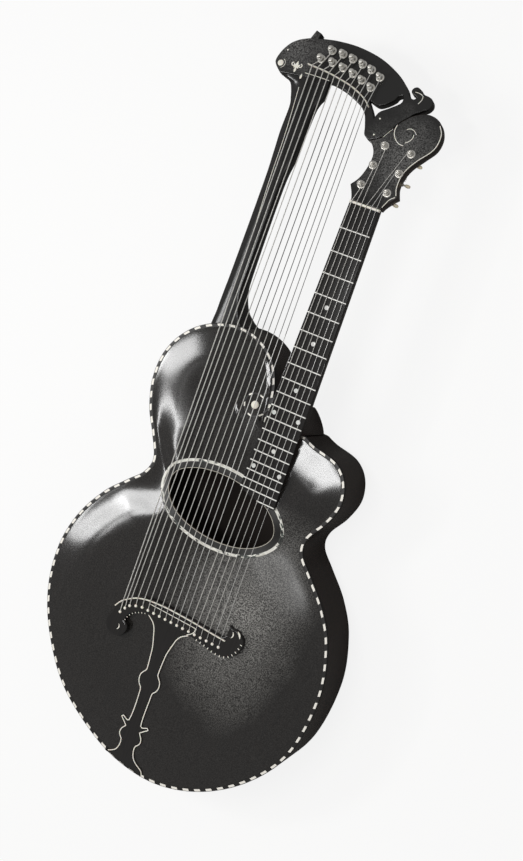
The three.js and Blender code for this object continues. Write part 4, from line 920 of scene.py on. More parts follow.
@dataclass
class Body:
    """Soundboard, back, rim, binding, rosette and the carved scroll."""

    finishes: Finishes
    outline: Outline
    hole_steps: int = 560
    fine_steps: int = 230
    rows: int = 150
    cut_slope: float = 0.14
    carving_centre: tuple[float, float] = (-25.0, 255.0)
    carving_reach: float = 110.0
    eye: tuple[float, float] = (-8.0, 232.9)
    eye_radius: float = 6.5
    eye_height: float = 2.2
    swelling: tuple[float, float] = (0.5, 12.0)
    lining_width: float = 12.0
    lining_height: float = 14.0
    rib_thick: float = 4.0
    inlay_width: float = 2.8

    CHANNEL = shares("-27.8,309.9 -20.1,302.9 -14.1,295.2 -8.5,286.5 -2.8,272.1 1.5,261.3 7.4,248.7")
    CRESCENT = shares("-40.1,226 -37.4,215.8 -32.6,209.3 -23.5,203.5")
    SPIRAL = shares("""
    17,256 16,243 12,230 6.8,221.7 -1.5,216 -11.2,215.5 -20.5,220 -25.7,228.9 -25.5,239 -20.3,246.8
    -11.5,250.3 -2.3,249.2 2.5,247
    """)

    def build(self) -> None:
        """Makes the body's pieces."""
        self._soundboard()
        self._rosette()
        self._binding()
        self._rim()
        self._back()
        self._scroll()

    def _carving(self, flat: Array) -> Array:
        """Relief of the scroll: two gouge cuts and a low swelling round the eye.

        A cut falls at a steady slope from its path, over a width that follows a sine of the share along it,
        and rises again as a bell.
        """
        points = flat.reshape(-1, 2)
        relief = np.zeros(len(points))
        near = np.linalg.norm(points - self.carving_centre, axis=1) < self.carving_reach
        for path, widest, rise in ((self.CHANNEL, 8.8, 3.5), (self.CRESCENT, 4.6, 9.0)):
            curve = spline(path, 24)
            place = np.linalg.norm(points[near][:, None, :] - curve[None, :, :], axis=-1).argmin(axis=1)
            way, offset = tangents(curve)[place], points[near] - curve[place]
            across = offset[:, 1] * way[:, 0] - offset[:, 0] * way[:, 1]
            width = widest * np.sin(np.pi * (place / (len(curve) - 1)) ** 0.8)
            bell = np.exp(-((np.maximum(across - width, 0.0) / rise) ** 2))
            fall = np.minimum(across / np.maximum(width, 1e-6), bell)
            relief[near] -= self.cut_slope * width * np.maximum(fall, 0.0)
        height, reach = self.swelling
        relief += height * np.exp(-((np.linalg.norm(points - self.eye, axis=1) / reach) ** 4))
        return relief.reshape(flat.shape[:-1])

    @staticmethod
    def _oval(angles: Array, grow: float = 0.0) -> Array:
        """The soundhole's oval, grown by a distance, in the given directions from its centre."""
        turned = angles - HOLE_TURN
        halves = HOLE_HALVES + grow
        reach = 1 / np.hypot(np.cos(turned) / halves[0], np.sin(turned) / halves[1])
        return HOLE_CENTRE + reach[:, None] * headings(angles)

    def _soundboard(self) -> None:
        """Soundboard: rings from the hole's oval out to the binding, each point the given share of the way
        between them, at the height of the arch plus the carving; then the hole's wall and the underside. The
        rings' points lie closer towards the scroll."""
        start, end = math.radians(74), math.radians(112)
        angles = np.concatenate([np.linspace(start, end, self.fine_steps, endpoint=False),
                                 np.linspace(end, start + 2 * np.pi, self.hole_steps, endpoint=False)])
        inner, outer = self._oval(angles), rays(self.outline.top, HOLE_CENTRE, angles)
        flat = inner + (outer - inner) * np.linspace(0.0, 1.0, self.rows)[:, None, None]
        face = lifted(flat, self.outline.top_z(flat) + self._carving(flat))
        coarse = flat[:: self.rows // 12]
        under = lifted(coarse, self.outline.top_z(coarse) - PLATE_THICK)
        form = Form("soundboard_skin").grid(face, around=True)
        form.grid(np.stack([face[0], under[0]]), around=True, slot=1).grid(under, around=True, slot=1)
        form.build([self.finishes.top, self.finishes.spruce], ROOT, ("soundboard",), "spruce_lacquered", 60)

    def _rosette(self) -> None:
        """Rosette ring, a hair proud of the soundboard: rings at set distances from the hole, the ring of
        pearl pieces a little higher in its middle."""
        angles = np.linspace(0, 2 * np.pi, 360, endpoint=False)
        start, end = ROSETTE_RING
        profile = np.array([(0.0, -0.3), (0.15, 0.12), (ROSETTE_LINE, 0.2), (6.0, 0.2), (start, 0.2),
                            ((start + end) / 2, 0.26), (end, 0.2), (15.9, 0.14), (16.0, 0.0)])
        flat = np.stack([self._oval(angles, distance) for distance in profile[:, 0]])
        around = run_length(flat[0])
        form = Form("rosette_inlay")
        form.grid(lifted(flat, self.outline.top_z(flat) + profile[:, 1:]), around=True,
                  run=paired(around[None, :], profile[:, :1]))
        form.build([self.finishes.rosette], ROOT, ("soundhole_rosette",), "pearl_inlay")

    def _carried(self, profile: Array) -> Array:
        """A profile of (depth, height) pairs carried round the body's outline."""
        return np.stack([lifted(inset(self.outline.loop, depth), height) for depth, height in profile])

    def _binding(self) -> None:
        """Binding: a rounded strip along the outline's edge, with the distance along and across it kept for
        the rope pattern, whose period is stretched to go round a whole number of times."""
        profile = np.array([(0.0, -5.0), (0.0, -1.2), (0.25, -0.5), (0.8, -0.1), (1.6, 0.0), (4.6, 0.05),
                            (6.2, 0.02), (6.2, -1.5)])
        length = run_length(np.vstack([self.outline.loop, self.outline.loop[:1]]))
        period = length[-1] / round(length[-1] / ROPE_PERIOD)
        along = length[:-1] * ROPE_PERIOD / period
        form = Form("binding_strip")
        form.grid(self._carried(profile + (0.0, TOP_EDGE_Z)), around=True,
                  run=paired(along[None, :], profile[:, :1]))
        form.build([self.finishes.binding], ROOT, ("top_binding",), "ivory_binding")

    def _rim(self) -> None:
        """Rim: the bent ribs and their linings, a closed profile carried round the outline."""
        low, high = BACK_EDGE_Z + 5.0, TOP_EDGE_Z - 5.2
        width, height, thick = self.lining_width, self.lining_height, self.rib_thick
        rings = self._carried(np.array([
            (0.0, low), (0.0, high), (width, high), (width, high - 4), (thick, high - height),
            (thick, low + height), (width, low + 4), (width, low), (0.0, low),
        ]))
        form = Form("rim_ribs").grid(rings[:2], around=True).grid(rings[1:], around=True, slot=1)
        finishes = [self.finishes.mahogany, self.finishes.inside]
        form.build(finishes, ROOT, ("rim",), "mahogany_lacquered", 30)

    def _back(self) -> None:
        """Back: rings about the origin at the height of the back's arch, the wall of its edge and the inner
        face."""
        share = np.concatenate([np.linspace(0.02, 0.99, 60), [0.996, 1.0]])[:, None, None]
        flat = self.outline.loop[::2] * share
        outer = lifted(flat, self.outline.back_z(flat))
        edge = np.stack([outer[-1], outer[-1] + (0.0, 0.0, PLATE_THICK)])
        inner = lifted(flat[::6], self.outline.back_z(flat[::6]) + PLATE_THICK)
        form = Form("back_skin").grid(outer, around=True).cap(outer[0])
        form.grid(edge, around=True).grid(inner, around=True, slot=1).cap(inner[0], slot=1)
        finishes = [self.finishes.mahogany, self.finishes.inside]
        form.build(finishes, ROOT, ("back_plate",), "mahogany_lacquered")

    def _scroll(self) -> None:
        """Inlay that curls off the binding round the ivory eye, and the eye itself."""
        curl = resample(spline(self.SPIRAL, 20), 120)
        edge = self.inlay_width / 2
        across = np.array([-edge, -1.2, 0.0, 1.2, edge])
        rise = np.array([-0.3, 0.12, 0.2, 0.12, -0.3])
        flat = curl[:, None, :] + leftwards(tangents(curl))[:, None, :] * across[None, :, None]
        height = self.outline.top_z(flat) + self._carving(flat) + rise
        run = paired(run_length(curl)[:, None] - 13.7, across[None, :] + edge)
        Form("scroll_inlay").grid(lifted(flat, height), run=run).build([self.finishes.spiral], ROOT)
        profile = np.vstack([(self.eye_radius, -2.0), dome(self.eye_radius, self.eye_height, 9)])
        base = float(self.outline.top_z(np.array(self.eye))) + 0.8
        form = Form("scroll_eye").stud(lathe(profile, 40) + (*self.eye, base))
        form.build([self.finishes.ivory], ROOT)


def board_half(y: Array | float) -> Array | float:
    """Half the fingerboard's width at a place along the strings: the board is 49 mm wide at the nut and
    12.5 mm wider halfway to the saddle."""
    return (49.0 + 12.5 * 2 * (NUT_Y - y) / SCALE_LENGTH) / 2


def fret_y(number: int) -> float:
    """Where a fret lies: the scale length halves every twelve frets."""
    return SADDLE_Y + SCALE_LENGTH * 2.0 ** (-number / 12)


NECK_HEAD_LEFT = "-0.134,0.115 -0.099,0.177 -0.079,0.262 -0.078,0.341 -0.102,0.397 -0.135,0.426"
HEAD_SEAM = "0.032,0.644 -0.013,0.581 -0.060,0.481 -0.135,0.426"
NECK_LOBE = """
0.032,0.644 0.064,0.672 0.120,0.699 0.180,0.693 0.228,0.656 0.257,0.585 0.251,0.501 0.206,0.421
0.161,0.346 0.137,0.271 0.135,0.195 0.159,0.126
"""
HEAD_FEET = "0.094,0.020 0.103,0.060 -0.094,0.020 -0.103,0.060"
PURFLING_RIGHT = """
0.219,0.651 0.244,0.606 0.250,0.554 0.243,0.503 0.222,0.458 0.184,0.404 0.149,0.340 0.129,0.281
0.125,0.224 0.130,0.176 0.143,0.137
"""
PURFLING_FOOT = "0.143,0.125 0.118,0.100 0.102,0.060 0.094,0.036"
# Ivory lines drawn where the carved volutes' edges catch the light: painted highlights.
VOLUTE_HIGHLIGHTS = [
    ("-0.013,0.575 -0.015,0.539 -0.006,0.507 0.014,0.479 0.040,0.461 0.066,0.458", 1.1),
    ("0.049,0.566 0.070,0.577 0.093,0.571 0.113,0.551", 0.9),
    ("0.100,0.546 0.100,0.521 0.088,0.496 0.070,0.479", 1.1),
    ("-0.064,0.472 -0.046,0.507 -0.028,0.541", 0.6),
]
TUNER_ENDS = head_points("0.009,0.134 0.049,0.422")
TUNER_SPREAD = 43.0


def tuner_places() -> list[tuple[str, int, Array]]:
    """Name, side and head-plane place of the six neck tuners, bass side first, from the nut up."""
    middles = np.linspace(*TUNER_ENDS, 3)
    return [(f"{title}_{k}", side, middle + (side * TUNER_SPREAD / 2, 0.0))
            for side, title in ((-1, "bass"), (1, "treble")) for k, middle in enumerate(middles, 1)]


def ferrule(place: Array) -> Array:
    """A stepped round ferrule on a head's face, in the part frame."""
    profile = [(3.2, -0.6), (3.2, 0.75), (4.4, 0.95), (5.9, 0.8), (6.5, 0.2), (6.5, -0.3)]
    return from_head(lathe(rounded(profile, 3), 36) + (*place, 0.0))


@dataclass
class Neck:
    """Neck with its head, fingerboard, frets, dots and nut."""

    finishes: Finishes
    outline: Outline
    shaft_depth: float = 23.0
    shaft_taper: float = 3.0
    heel_depth: float = 104.0
    heel_foot_half: float = 31.0
    heel_foot_length: float = 35.0
    heel_sweep: float = 27.0
    heel_point: float = 1.6
    foot_share: float = 0.05
    frets: int = 20
    fret_half: float = 1.1
    fret_crown: float = 1.05
    board_thick: float = 6.0
    nut_half: float = 24.5

    DOTS = ((5, 0.0), (7, 0.0), (10, 0.0), (12, -21.5), (12, 21.0), (15, 0.0), (17, -23.0), (17, 23.0))

    def build(self) -> None:
        """Makes the neck's pieces."""
        form = Form("neck_wood")
        self._shaft(form)
        self._heel(form)
        self._tongue(form)
        self._head(form)
        finishes = [self.finishes.mahogany, self.finishes.veneer, self.finishes.nickel, self.finishes.ivory]
        form.build(finishes, ROOT, ("neck",), "mahogany_lacquered", 35)
        self._board()
        self._nut()

    def _shaft(self, form: Form) -> None:
        """Shaft: round sections from heel to nut, their depth and width blended along the neck. A section is
        four fifths a half sine, and one fifth a smooth step that makes its shoulders."""
        start, end = JOINT_Y + GAP, NUT_Y + NUT_DEPTH + GAP
        t = np.linspace(0.0, 1.0, 24)
        y = start + (end - start) * t
        half, depth = board_half(y)[:, None], (self.shaft_depth - self.shaft_taper * t)[:, None]
        angle = np.linspace(0.0, np.pi, 33)[None, :]
        shoulder = (np.sin(angle) > 0) * smoothstep(np.sin(angle) * 6)
        x = -half * np.cos(angle)
        z = NECK_TOP_Z - depth * (0.2 * shoulder + 0.8 * np.sin(angle))
        form.tube(np.stack([NECK_X + x, np.broadcast_to(y[:, None], x.shape), z], axis=-1))

    def _heel(self, form: Form) -> None:
        """Heel: a stack of plans from the foot up, pointed at the foot, round under the shaft and sweeping
        out into it. A plan is a half ellipse with sine and cosine raised to a power that falls from the
        point's to one; the foot's edge is rounded by a quarter circle."""
        t = np.linspace(0.0, 1.0, 40)[:, None]
        angle = np.linspace(0.0, np.pi, 33)[None, :]
        back = JOINT_Y + GAP
        half = self.heel_foot_half + (board_half(back) - self.heel_foot_half) * t
        length = self.heel_foot_length + self.heel_sweep * t**2
        bend = self.heel_point - (self.heel_point - 1.0) * smoothstep(t)
        below = (self.foot_share - t) / self.foot_share
        scale = 0.9 + 0.1 * np.where(t < self.foot_share, np.sqrt(np.clip(1 - below**2, 0.0, 1.0)), 1.0)
        x = half * scale * np.sign(np.cos(angle)) * np.abs(np.cos(angle)) ** bend
        y = back + length * scale * np.clip(np.sin(angle), 0.0, 1.0) ** bend
        z = np.broadcast_to(NECK_TOP_Z - self.heel_depth * (1 - t), x.shape)
        form.tube(np.stack([NECK_X + x, y, z], axis=-1))

    def _tongue(self, form: Form) -> None:
        """Tongue: the slab between the soundboard and the part of the board that lies over the body."""
        loop = clean_loop(self._board_loop(JOINT_Y + 4.0))
        top = lifted(loop, NECK_TOP_Z)
        foot = lifted(loop, np.minimum(self.outline.top_z(loop) + GAP, NECK_TOP_Z - 0.2))
        form.grid(np.stack([top, foot]), around=True).sheet([top])

    @staticmethod
    def _head(form: Form) -> None:
        """Neck head: its outline with rounded edges, veneer on the face, an ivory line inside the right edge,
        ivory volute lines that are painted highlights of carved edges, and the six ferrules."""
        left, seam, lobe = (spline(head_points(part)) for part in (NECK_HEAD_LEFT, HEAD_SEAM, NECK_LOBE))
        feet = head_points(HEAD_FEET)
        right_foot = quadratic(feet[0], feet[1], lobe[-1])
        left_foot = quadratic(left[0], feet[3], feet[2])
        outline = clean_loop(np.vstack([right_foot, lobe[::-1], seam, left[::-1], left_foot]))
        plate(form, outline, [], -HEAD_THICK, 0.0, 1.3, face_slot=1)
        for line, width in ((PURFLING_RIGHT, 1.2), (PURFLING_FOOT, 1.0)):
            ribbon(form, even_curve(head_points(line), 80), width, 0.0, 0.12, True, 3)
        # Painted highlights of the volutes' carved edges.
        for line, width in VOLUTE_HIGHLIGHTS:
            ribbon(form, even_curve(head_points(line), 40), width, 0.0, 0.3, True, 3)
        for _, _, place in tuner_places():
            form.grid(ferrule(place), around=True, slot=2)

    def _foot(self) -> Array:
        """The fingerboard's curved foot, from its bass side to its treble side, where the last fret is
        short."""
        left, right = (fret_y(number) - 3.0 for number in (self.frets - 1, self.frets))
        return quadratic(np.array([NECK_X - board_half(left), left]), np.array([NECK_X, right]),
                         np.array([NECK_X + board_half(right), right]), 24)

    def _board_loop(self, front: float) -> Array:
        """The fingerboard's outline from its head end to its foot."""
        half = board_half(front)
        return np.vstack([(NECK_X + half, front), (NECK_X - half, front), self._foot()])

    def _board(self) -> None:
        """Fingerboard: the slab, a crowned nickel wire at each fret, and the dots."""
        form = Form("fingerboard_slab")
        loop = clean_loop(self._board_loop(NUT_Y - GAP))
        edge = ((0.5, 0.0), (0.15, 0.15), (0.0, 0.5), (0.0, self.board_thick))
        rings = np.stack([lifted(inset(loop, depth), BOARD_TOP_Z - drop) for depth, drop in edge])
        form.grid(rings, around=True).sheet([rings[0]]).sheet([rings[-1]])
        for number in range(1, self.frets + 1):
            self._fret(form, number)
        for number, shift in self.DOTS:
            y = (fret_y(number) + fret_y(number - 1)) / 2
            disc = lathe(np.array([(3.5, -0.3), (3.5, 0.04), (3.3, 0.07)]), 28)
            form.stud(disc + (NECK_X + shift, y, BOARD_TOP_Z), slot=2)
        finishes = [self.finishes.ebony, self.finishes.fret, self.finishes.pearl]
        form.build(finishes, ROOT, ("fingerboard",), "ebony")

    def _fret(self, form: Form, number: int) -> None:
        """A fret: a half ellipse carried across the board and lower at its ends; the last one starts where it
        crosses the curved foot."""
        y = fret_y(number)
        reach = board_half(y)
        low = -reach
        if number == self.frets:
            foot = self._foot()
            order = np.argsort(foot[:, 1])
            low = np.interp(y, foot[order, 1], foot[order, 0]) - NECK_X + 0.3
        x = np.array([low, low + 0.6, reach - 0.6, reach])[:, None]
        crown = np.array([0.25, 1.0, 1.0, 0.25])[:, None]
        arc = headings(np.linspace(0.0, np.pi, 9)) * (self.fret_half, self.fret_crown)
        z = BOARD_TOP_Z - 0.1 + crown * arc[:, 1]
        points = np.broadcast_arrays(NECK_X + x, y + arc[:, 0], z)
        form.grid(np.stack(points, axis=-1), slot=1)

    def _nut(self) -> None:
        """Nut: a bar with a rounded top, a little smaller at its ends."""
        end, middle = NUT_DEPTH, NUT_DEPTH / 2
        profile = rounded([(0.0, 0.0), (0.0, 6.5), (0.9, 8.0), (end - 0.9, 8.0), (end, 6.5), (end, 0.0)], 3)
        inner = self.nut_half - 0.4
        size = np.array([0.94, 1.0, 1.0, 0.94])[:, None]
        x = NECK_X + np.array([-self.nut_half, -inner, inner, self.nut_half])[:, None]
        y = NUT_Y + middle + (profile[:, 0] - middle) * size
        z = NECK_TOP_Z + GAP + profile[:, 1] * size * 0.975
        form = Form("nut_bar").tube(np.stack(np.broadcast_arrays(x, y, z), axis=-1))
        form.build([self.finishes.ivory], ROOT, ("nut",), "ivory")


HARP_INNER = """
-0.135,0.426 -0.173,0.449 -0.191,0.502 -0.221,0.577 -0.264,0.624 -0.332,0.665 -0.406,0.696
-0.471,0.712 -0.498,0.714
"""
HARP_OUTER = """
-0.816,0.679 -0.858,0.723 -0.869,0.758 -0.854,0.825 -0.820,0.889 -0.772,0.931 -0.717,0.958
"""
HARP_FOOT = "-0.699,1.020 -0.662,1.007"
HARP_ARC = """
-0.667,0.971 -0.554,0.991 -0.412,0.993 -0.262,0.962 -0.135,0.900 -0.054,0.834 -0.021,0.787
"""
HARP_NOTCH = "-0.021,0.787 -0.001,0.769 0.017,0.767 0.029,0.783"
HARP_CURL = """
0.029,0.783 0.010,0.793 -0.009,0.802 -0.016,0.818 -0.009,0.838 0.011,0.849 0.041,0.835
0.064,0.816 0.093,0.811 0.118,0.798 0.130,0.765 0.118,0.730 0.089,0.707 0.052,0.675 0.032,0.644
"""
WINDOW = [
    "-0.230,0.678 -0.186,0.616 -0.160,0.571",
    "-0.160,0.571 -0.144,0.622 -0.097,0.666 -0.048,0.715 -0.043,0.750 -0.051,0.770",
    "-0.051,0.770 -0.075,0.755 -0.087,0.726 -0.124,0.685 -0.169,0.659 -0.230,0.678",
]
BASS_NUT = "-0.661,0.783 -0.531,0.768 -0.422,0.744 -0.357,0.725 -0.301,0.700 -0.247,0.665 -0.212,0.628"
INNER_PEGS = "-0.599,0.843 -0.523,0.840 -0.451,0.827 -0.381,0.809 -0.315,0.785 -0.248,0.756"
OUTER_PEGS = "-0.555,0.916 -0.484,0.914 -0.416,0.902 -0.348,0.887 -0.285,0.869 -0.220,0.837"
# Ivory edge lines; the third, on the curl, is a painted highlight of the curl's edge.
HEAD_LINES = [
    ("-0.661,0.722 -0.615,0.723 -0.556,0.722 -0.502,0.719", 1.0),
    ("-0.370,0.728 -0.308,0.700 -0.260,0.675 -0.229,0.652", 0.8),
    ("0.008,0.814 0.030,0.814 0.050,0.808 0.061,0.797 0.061,0.773 0.050,0.745", 0.9),
]
KNOB = "-0.831,0.740"
FLOWER = "-0.729,0.738"
# Where the arm's bevel stops, a painted highlight laid as an ivory arrow.
ARROW_HIGHLIGHT = "-0.677,0.672"
HEAD_DOTS = "-0.821,0.838 -0.120,0.470 -0.124,0.581"
# A painted highlight of the arm's bevelled edge, laid as a fine ivory line.
ARM_HIGHLIGHT_LINE = shares("-125,712 -120,640 -118,560 -113,470")
ARM_SEAM = head_points("-0.816,0.679 -0.498,0.714")
ARM_FOOT = np.array([-0.224 * BODY_WIDTH, 0.4 * BODY_LENGTH, TOP_EDGE_Z])
ARM_HEAD = from_head([NECK_X - 0.633 * HEAD_WIDTH, 0.714 * HEAD_HEIGHT, 0.0])
# Share of the way up, reach to the left and to the right in arm widths, and depth in arm depths.
ARM_SECTIONS = np.array([
    [0, 0.62, 1.6, 0.86], [0.075, 0.56, 1.3, 0.86], [0.105, 0.53, 1.0, 0.72], [0.14, 0.52, 0.75, 0.54],
    [0.2, 0.5, 0.53, 0.44], [0.28, 0.48, 0.5, 0.38], [0.6, 0.47, 0.52, 0.32], [0.71, 0.52, 0.69, 0.3],
    [0.79, 0.57, 0.74, 0.28], [0.88, 0.55, 0.82, 0.26], [0.915, 0.66, 0.92, 0.25], [0.94, 0.78, 1.1, 0.24],
    [0.963, 0.97, 1.12, 0.24], [0.985, 1.53, 1.12, 0.24], [1.06, 1.53, 1.12, 0.24],
])


def peg_places() -> list[Array]:
    """Head-plane places of the twelve bass pegs, from the inner and the outer row in turn."""
    return [place for pair in zip(head_points(INNER_PEGS), head_points(OUTER_PEGS)) for place in pair]


@dataclass
class HarpSide:
    """Harp arm, harp head, its ornaments, the bass nut and the bass pegs."""

    finishes: Finishes
    outline: Outline
    arm_width: float = 32.0
    arm_depth: float = 100.0
    front_bevel: tuple[float, float] = (13.0, 7.0)
    back_bevel: float = 9.0
    right_bevel: float = 2.0
    nut_half: float = 1.0
    nut_height: float = 5.4
    knob_length: float = 17.0
    flutes: int = 9
    flute_share: float = 0.07
    inlay_rise: float = 0.12

    def build(self) -> None:
        """Makes the harp side's pieces."""
        self._arm()
        self._head()
        self._nut()
        for number, place in enumerate(peg_places(), 1):
            self._peg(f"bass_peg_{number:02d}", place)

    def _arm(self) -> None:
        """Arm: a rounded section carried from the body's edge to the harp head, with a fine ivory line that
        runs down it from the head's arrow, both painted highlights of the arm's bevelled edge.

        Each section's corners are flat in front, bevelled on the outer side and round behind. Its width and
        depth are smooth curves through the listed shares. Every lengthwise line is trimmed where it leaves
        the body's outline and where it meets the slanting seam of the head.
        """
        t, left, right, depth = (column[:, None] for column in spline(ARM_SECTIONS, 12).T)
        middle, y, front = (start + (end - start) * t for start, end in zip(ARM_FOOT, ARM_HEAD))
        low, high = middle - left * self.arm_width, middle + right * self.arm_width
        back = front - depth * self.arm_depth
        (across, drop), behind, beside = self.front_bevel, self.back_bevel, self.right_bevel
        corners = [(high - beside, front), (low + across, front), (low, front - drop), (low, back + behind),
                   (low + behind, back), (high - behind, back), (high, back + behind), (high, front - beside)]
        section = self._round(np.stack([np.concatenate(pair, axis=1) for pair in corners], axis=1))
        x, z = section[..., 0], section[..., 1]
        points = np.stack([x, np.broadcast_to(y, x.shape), z], axis=-1)
        form = Form("harp_arm_wood").tube(self._trim(points))
        curve = even_curve(ARM_HIGHLIGHT_LINE, 60)
        share = (curve[:, 1] - ARM_FOOT[1]) / (ARM_HEAD[1] - ARM_FOOT[1])
        ribbon(form, curve, 0.8, ARM_FOOT[2] + (ARM_HEAD[2] - ARM_FOOT[2]) * share, 0.1, slot=1)
        finishes = [self.finishes.lacquer, self.finishes.ivory]
        form.build(finishes, ROOT, ("harp_arm",), "lacquered_hardwood", 35)

    @staticmethod
    def _round(section: Array, steps: int = 6) -> Array:
        """Closed sections with their corners rounded by quadratic bends that take a third of each side."""
        before, after = np.roll(section, 1, axis=1), np.roll(section, -1, axis=1)
        start, end = section + (before - section) * 0.33, section + (after - section) * 0.33
        start, corner, end = (points[:, :, None] for points in (start, section, end))
        t = np.linspace(0.0, 1.0, steps)[None, None, :, None]
        bend = (1 - t) ** 2 * start + 2 * t * (1 - t) * corner + t**2 * end
        return bend.reshape(len(section), -1, section.shape[2])

    def _trim(self, points: Array) -> Array:
        """Cuts every lengthwise line at the body's outline and at the seam with the head, and spaces its
        points evenly between."""
        table = radius_table(inset(self.outline.loop, -GAP))
        outside = np.linalg.norm(points[..., :2], axis=-1) - radius_towards(points[..., :2], table)
        low, high = ARM_SEAM
        along = (high - low) / np.linalg.norm(high - low)
        past_seam = (to_head(points)[..., :2] - low) @ leftwards(along) + GAP
        lines = []
        for line, out, past in zip(np.moveaxis(points, 1, 0), outside.T, past_seam.T):
            first, last = int(np.argmax(out > 0)), int(np.argmax(past > 0)) or len(line) - 1
            share = -out[first - 1] / (out[first] - out[first - 1])
            start = line[first - 1] + (line[first] - line[first - 1]) * share
            share = np.clip(-past[last - 1] / (past[last] - past[last - 1]), 0.0, 1.0)
            end = line[last - 1] + (line[last] - line[last - 1]) * share
            lines.append(resample(np.vstack([start, line[first:last], end]), 110))
        return np.stack(lines, axis=1)

    def _head(self) -> None:
        """Harp head: its outline and window with rounded edges, ferrules, ivory dots and lines."""
        parts = (HARP_OUTER, HARP_ARC, HARP_NOTCH, HARP_CURL, HARP_INNER)
        outer, arc, notch, curl, inner = (spline(head_points(part), 10) for part in parts)
        seam = spline(head_points(HEAD_SEAM), 10) + (-GAP, GAP)
        curl[-1] = seam[0]
        outline = clean_loop(np.vstack([outer, head_points(HARP_FOOT), arc, notch, curl, seam, inner[1:]]))
        window = clean_loop(np.vstack([spline(head_points(part), 10) for part in WINDOW]))
        form = Form("harp_head_wood")
        plate(form, outline, [window], -HEAD_THICK, 0.0, 1.2, face_slot=3)
        for place in peg_places():
            form.grid(ferrule(place), around=True, slot=1)
        self._ornaments(form)
        finishes = [self.finishes.lacquer, self.finishes.nickel, self.finishes.ivory, self.finishes.veneer]
        form.build(finishes, ROOT, ("harp_head",), "lacquered_hardwood", 35)

    def _ornaments(self, form: Form) -> None:
        """Ivory ornaments of the head: edge lines, the knob with its ring, a three-leaved flower with its
        curls and bar, the arrow over the arm, a painted highlight where its bevel stops, and small dots."""
        # The line on the curl is a painted highlight.
        for line, width in HEAD_LINES:
            ribbon(form, even_curve(head_points(line), 50), width, 0.0, self.inlay_rise, True, 2)
        knob, centre, arrow = (head_points(text)[0] for text in (KNOB, FLOWER, ARROW_HIGHLIGHT))
        form.stud(from_head(lathe(dome(4.8, 0.9, 7), 32) + (*knob, 0.0)), slot=2)
        ribbon(form, knob + 7.6 * headings(np.linspace(-1.2, 1.2, 30)), 0.7, 0.0, 0.1, True, 2)
        for lean, size, width in ((0.0, 11.0, 4.6), (-0.75, 8.5, 3.2), (0.75, 8.5, 3.2), (math.pi, 8.0, 4.0)):
            self._leaf(form, centre, lean, size, width)
        turn = np.linspace(0.0, 1.25 * np.pi, 14)
        curl = np.stack([5.8 + 3.0 * np.sin(turn), 4.6 + 2.6 * np.cos(turn)], axis=1)
        for side in (-1, 1):
            ribbon(form, centre + curl * (side, 1), 1.5, 0.0, self.inlay_rise, True, 2)
        bar = centre + np.array([[-4.2, 0.2], [0.0, 0.4], [4.2, 0.2]])
        ribbon(form, bar, 1.6, 0.0, 0.16, True, 2)
        # A painted highlight where the arm's bevel stops, laid as an ivory arrow.
        self._leaf(form, arrow, 0.0, 9.0, 3.4)
        disc = lathe(np.array([(1.3, -0.2), (1.3, 0.06), (1.1, self.inlay_rise)]), 16)
        for place in head_points(HEAD_DOTS):
            form.stud(from_head(disc + (*place, 0.0)), slot=2)

    @staticmethod
    def _leaf(form: Form, root: Array, lean: float, length: float, width: float) -> None:
        """A pointed leaf of inlay that leans from upright: its half width follows a sine along its length,
        and it is ridged."""
        t = np.linspace(0.0, 1.0, 14)[:, None]
        half = width / 2 * np.sin(np.pi * t**0.8)
        way = headings(math.pi / 2 + lean)
        flat = (root + way * length * t)[:, None, :] + leftwards(way) * (half * (-1.0, 0.0, 1.0))[..., None]
        form.grid(from_head(lifted(flat, np.broadcast_to([0.03, 0.14, 0.03], flat.shape[:2]))), slot=2)

    def _nut(self) -> None:
        """Bass nut: a curved ivory bar with a round top."""
        half, shoulder = self.nut_half, 3.6
        profile = rounded([(-half, GAP), (0.1 - half, shoulder), (0.0, self.nut_height),
                           (half - 0.1, shoulder), (half, GAP)], 5)
        points = from_head(strip(even_curve(head_points(BASS_NUT), 70), 0.0, profile))
        Form("bass_nut_bar").tube(points).build([self.finishes.ivory], ROOT, ("bass_nut",), "ivory")

    def _peg(self, node: str, place: Array) -> None:
        """Bass peg: a turned post with a domed top above the head and a fluted knob behind it. The flutes
        are a cosine of the angle, cut into the knob's widest part."""
        behind = -HEAD_THICK - GAP
        shoulder, foot = behind - 2.0, behind - self.knob_length
        knob = [(0.01, foot), (5.0, foot), (6.1, foot + 0.9), (7.3, foot + 5.4), (7.3, foot + 6.2),
                (4.2, shoulder), (3.9, behind - 0.2), (2.45, behind)]
        post = [(2.45, 5.2), (2.15, 5.8), (2.15, 8.8), (2.45, 9.6), (2.45, 12.6), (3.1, 13.2), (3.1, 14.1),
                (2.2, 14.7), (0.01, 14.9)]
        profile = rounded(knob + post, 3, 0.3)
        turned = lathe(profile, 42)
        angle = np.arctan2(turned[..., 1], turned[..., 0])
        grip = (profile[:, 1] < shoulder - 1.0) & (profile[:, 0] > 5.5)
        flute = 0.5 + 0.5 * np.cos(self.flutes * angle)
        turned[..., :2] *= 1 - self.flute_share * grip[:, None, None] * flute[..., None]
        form = Form(node.replace("peg", "peg_turned")).grid(from_head(turned + (*place, 0.0)), around=True)
        form.build([self.finishes.nickel], node, (node,), "nickel_peg", 35)


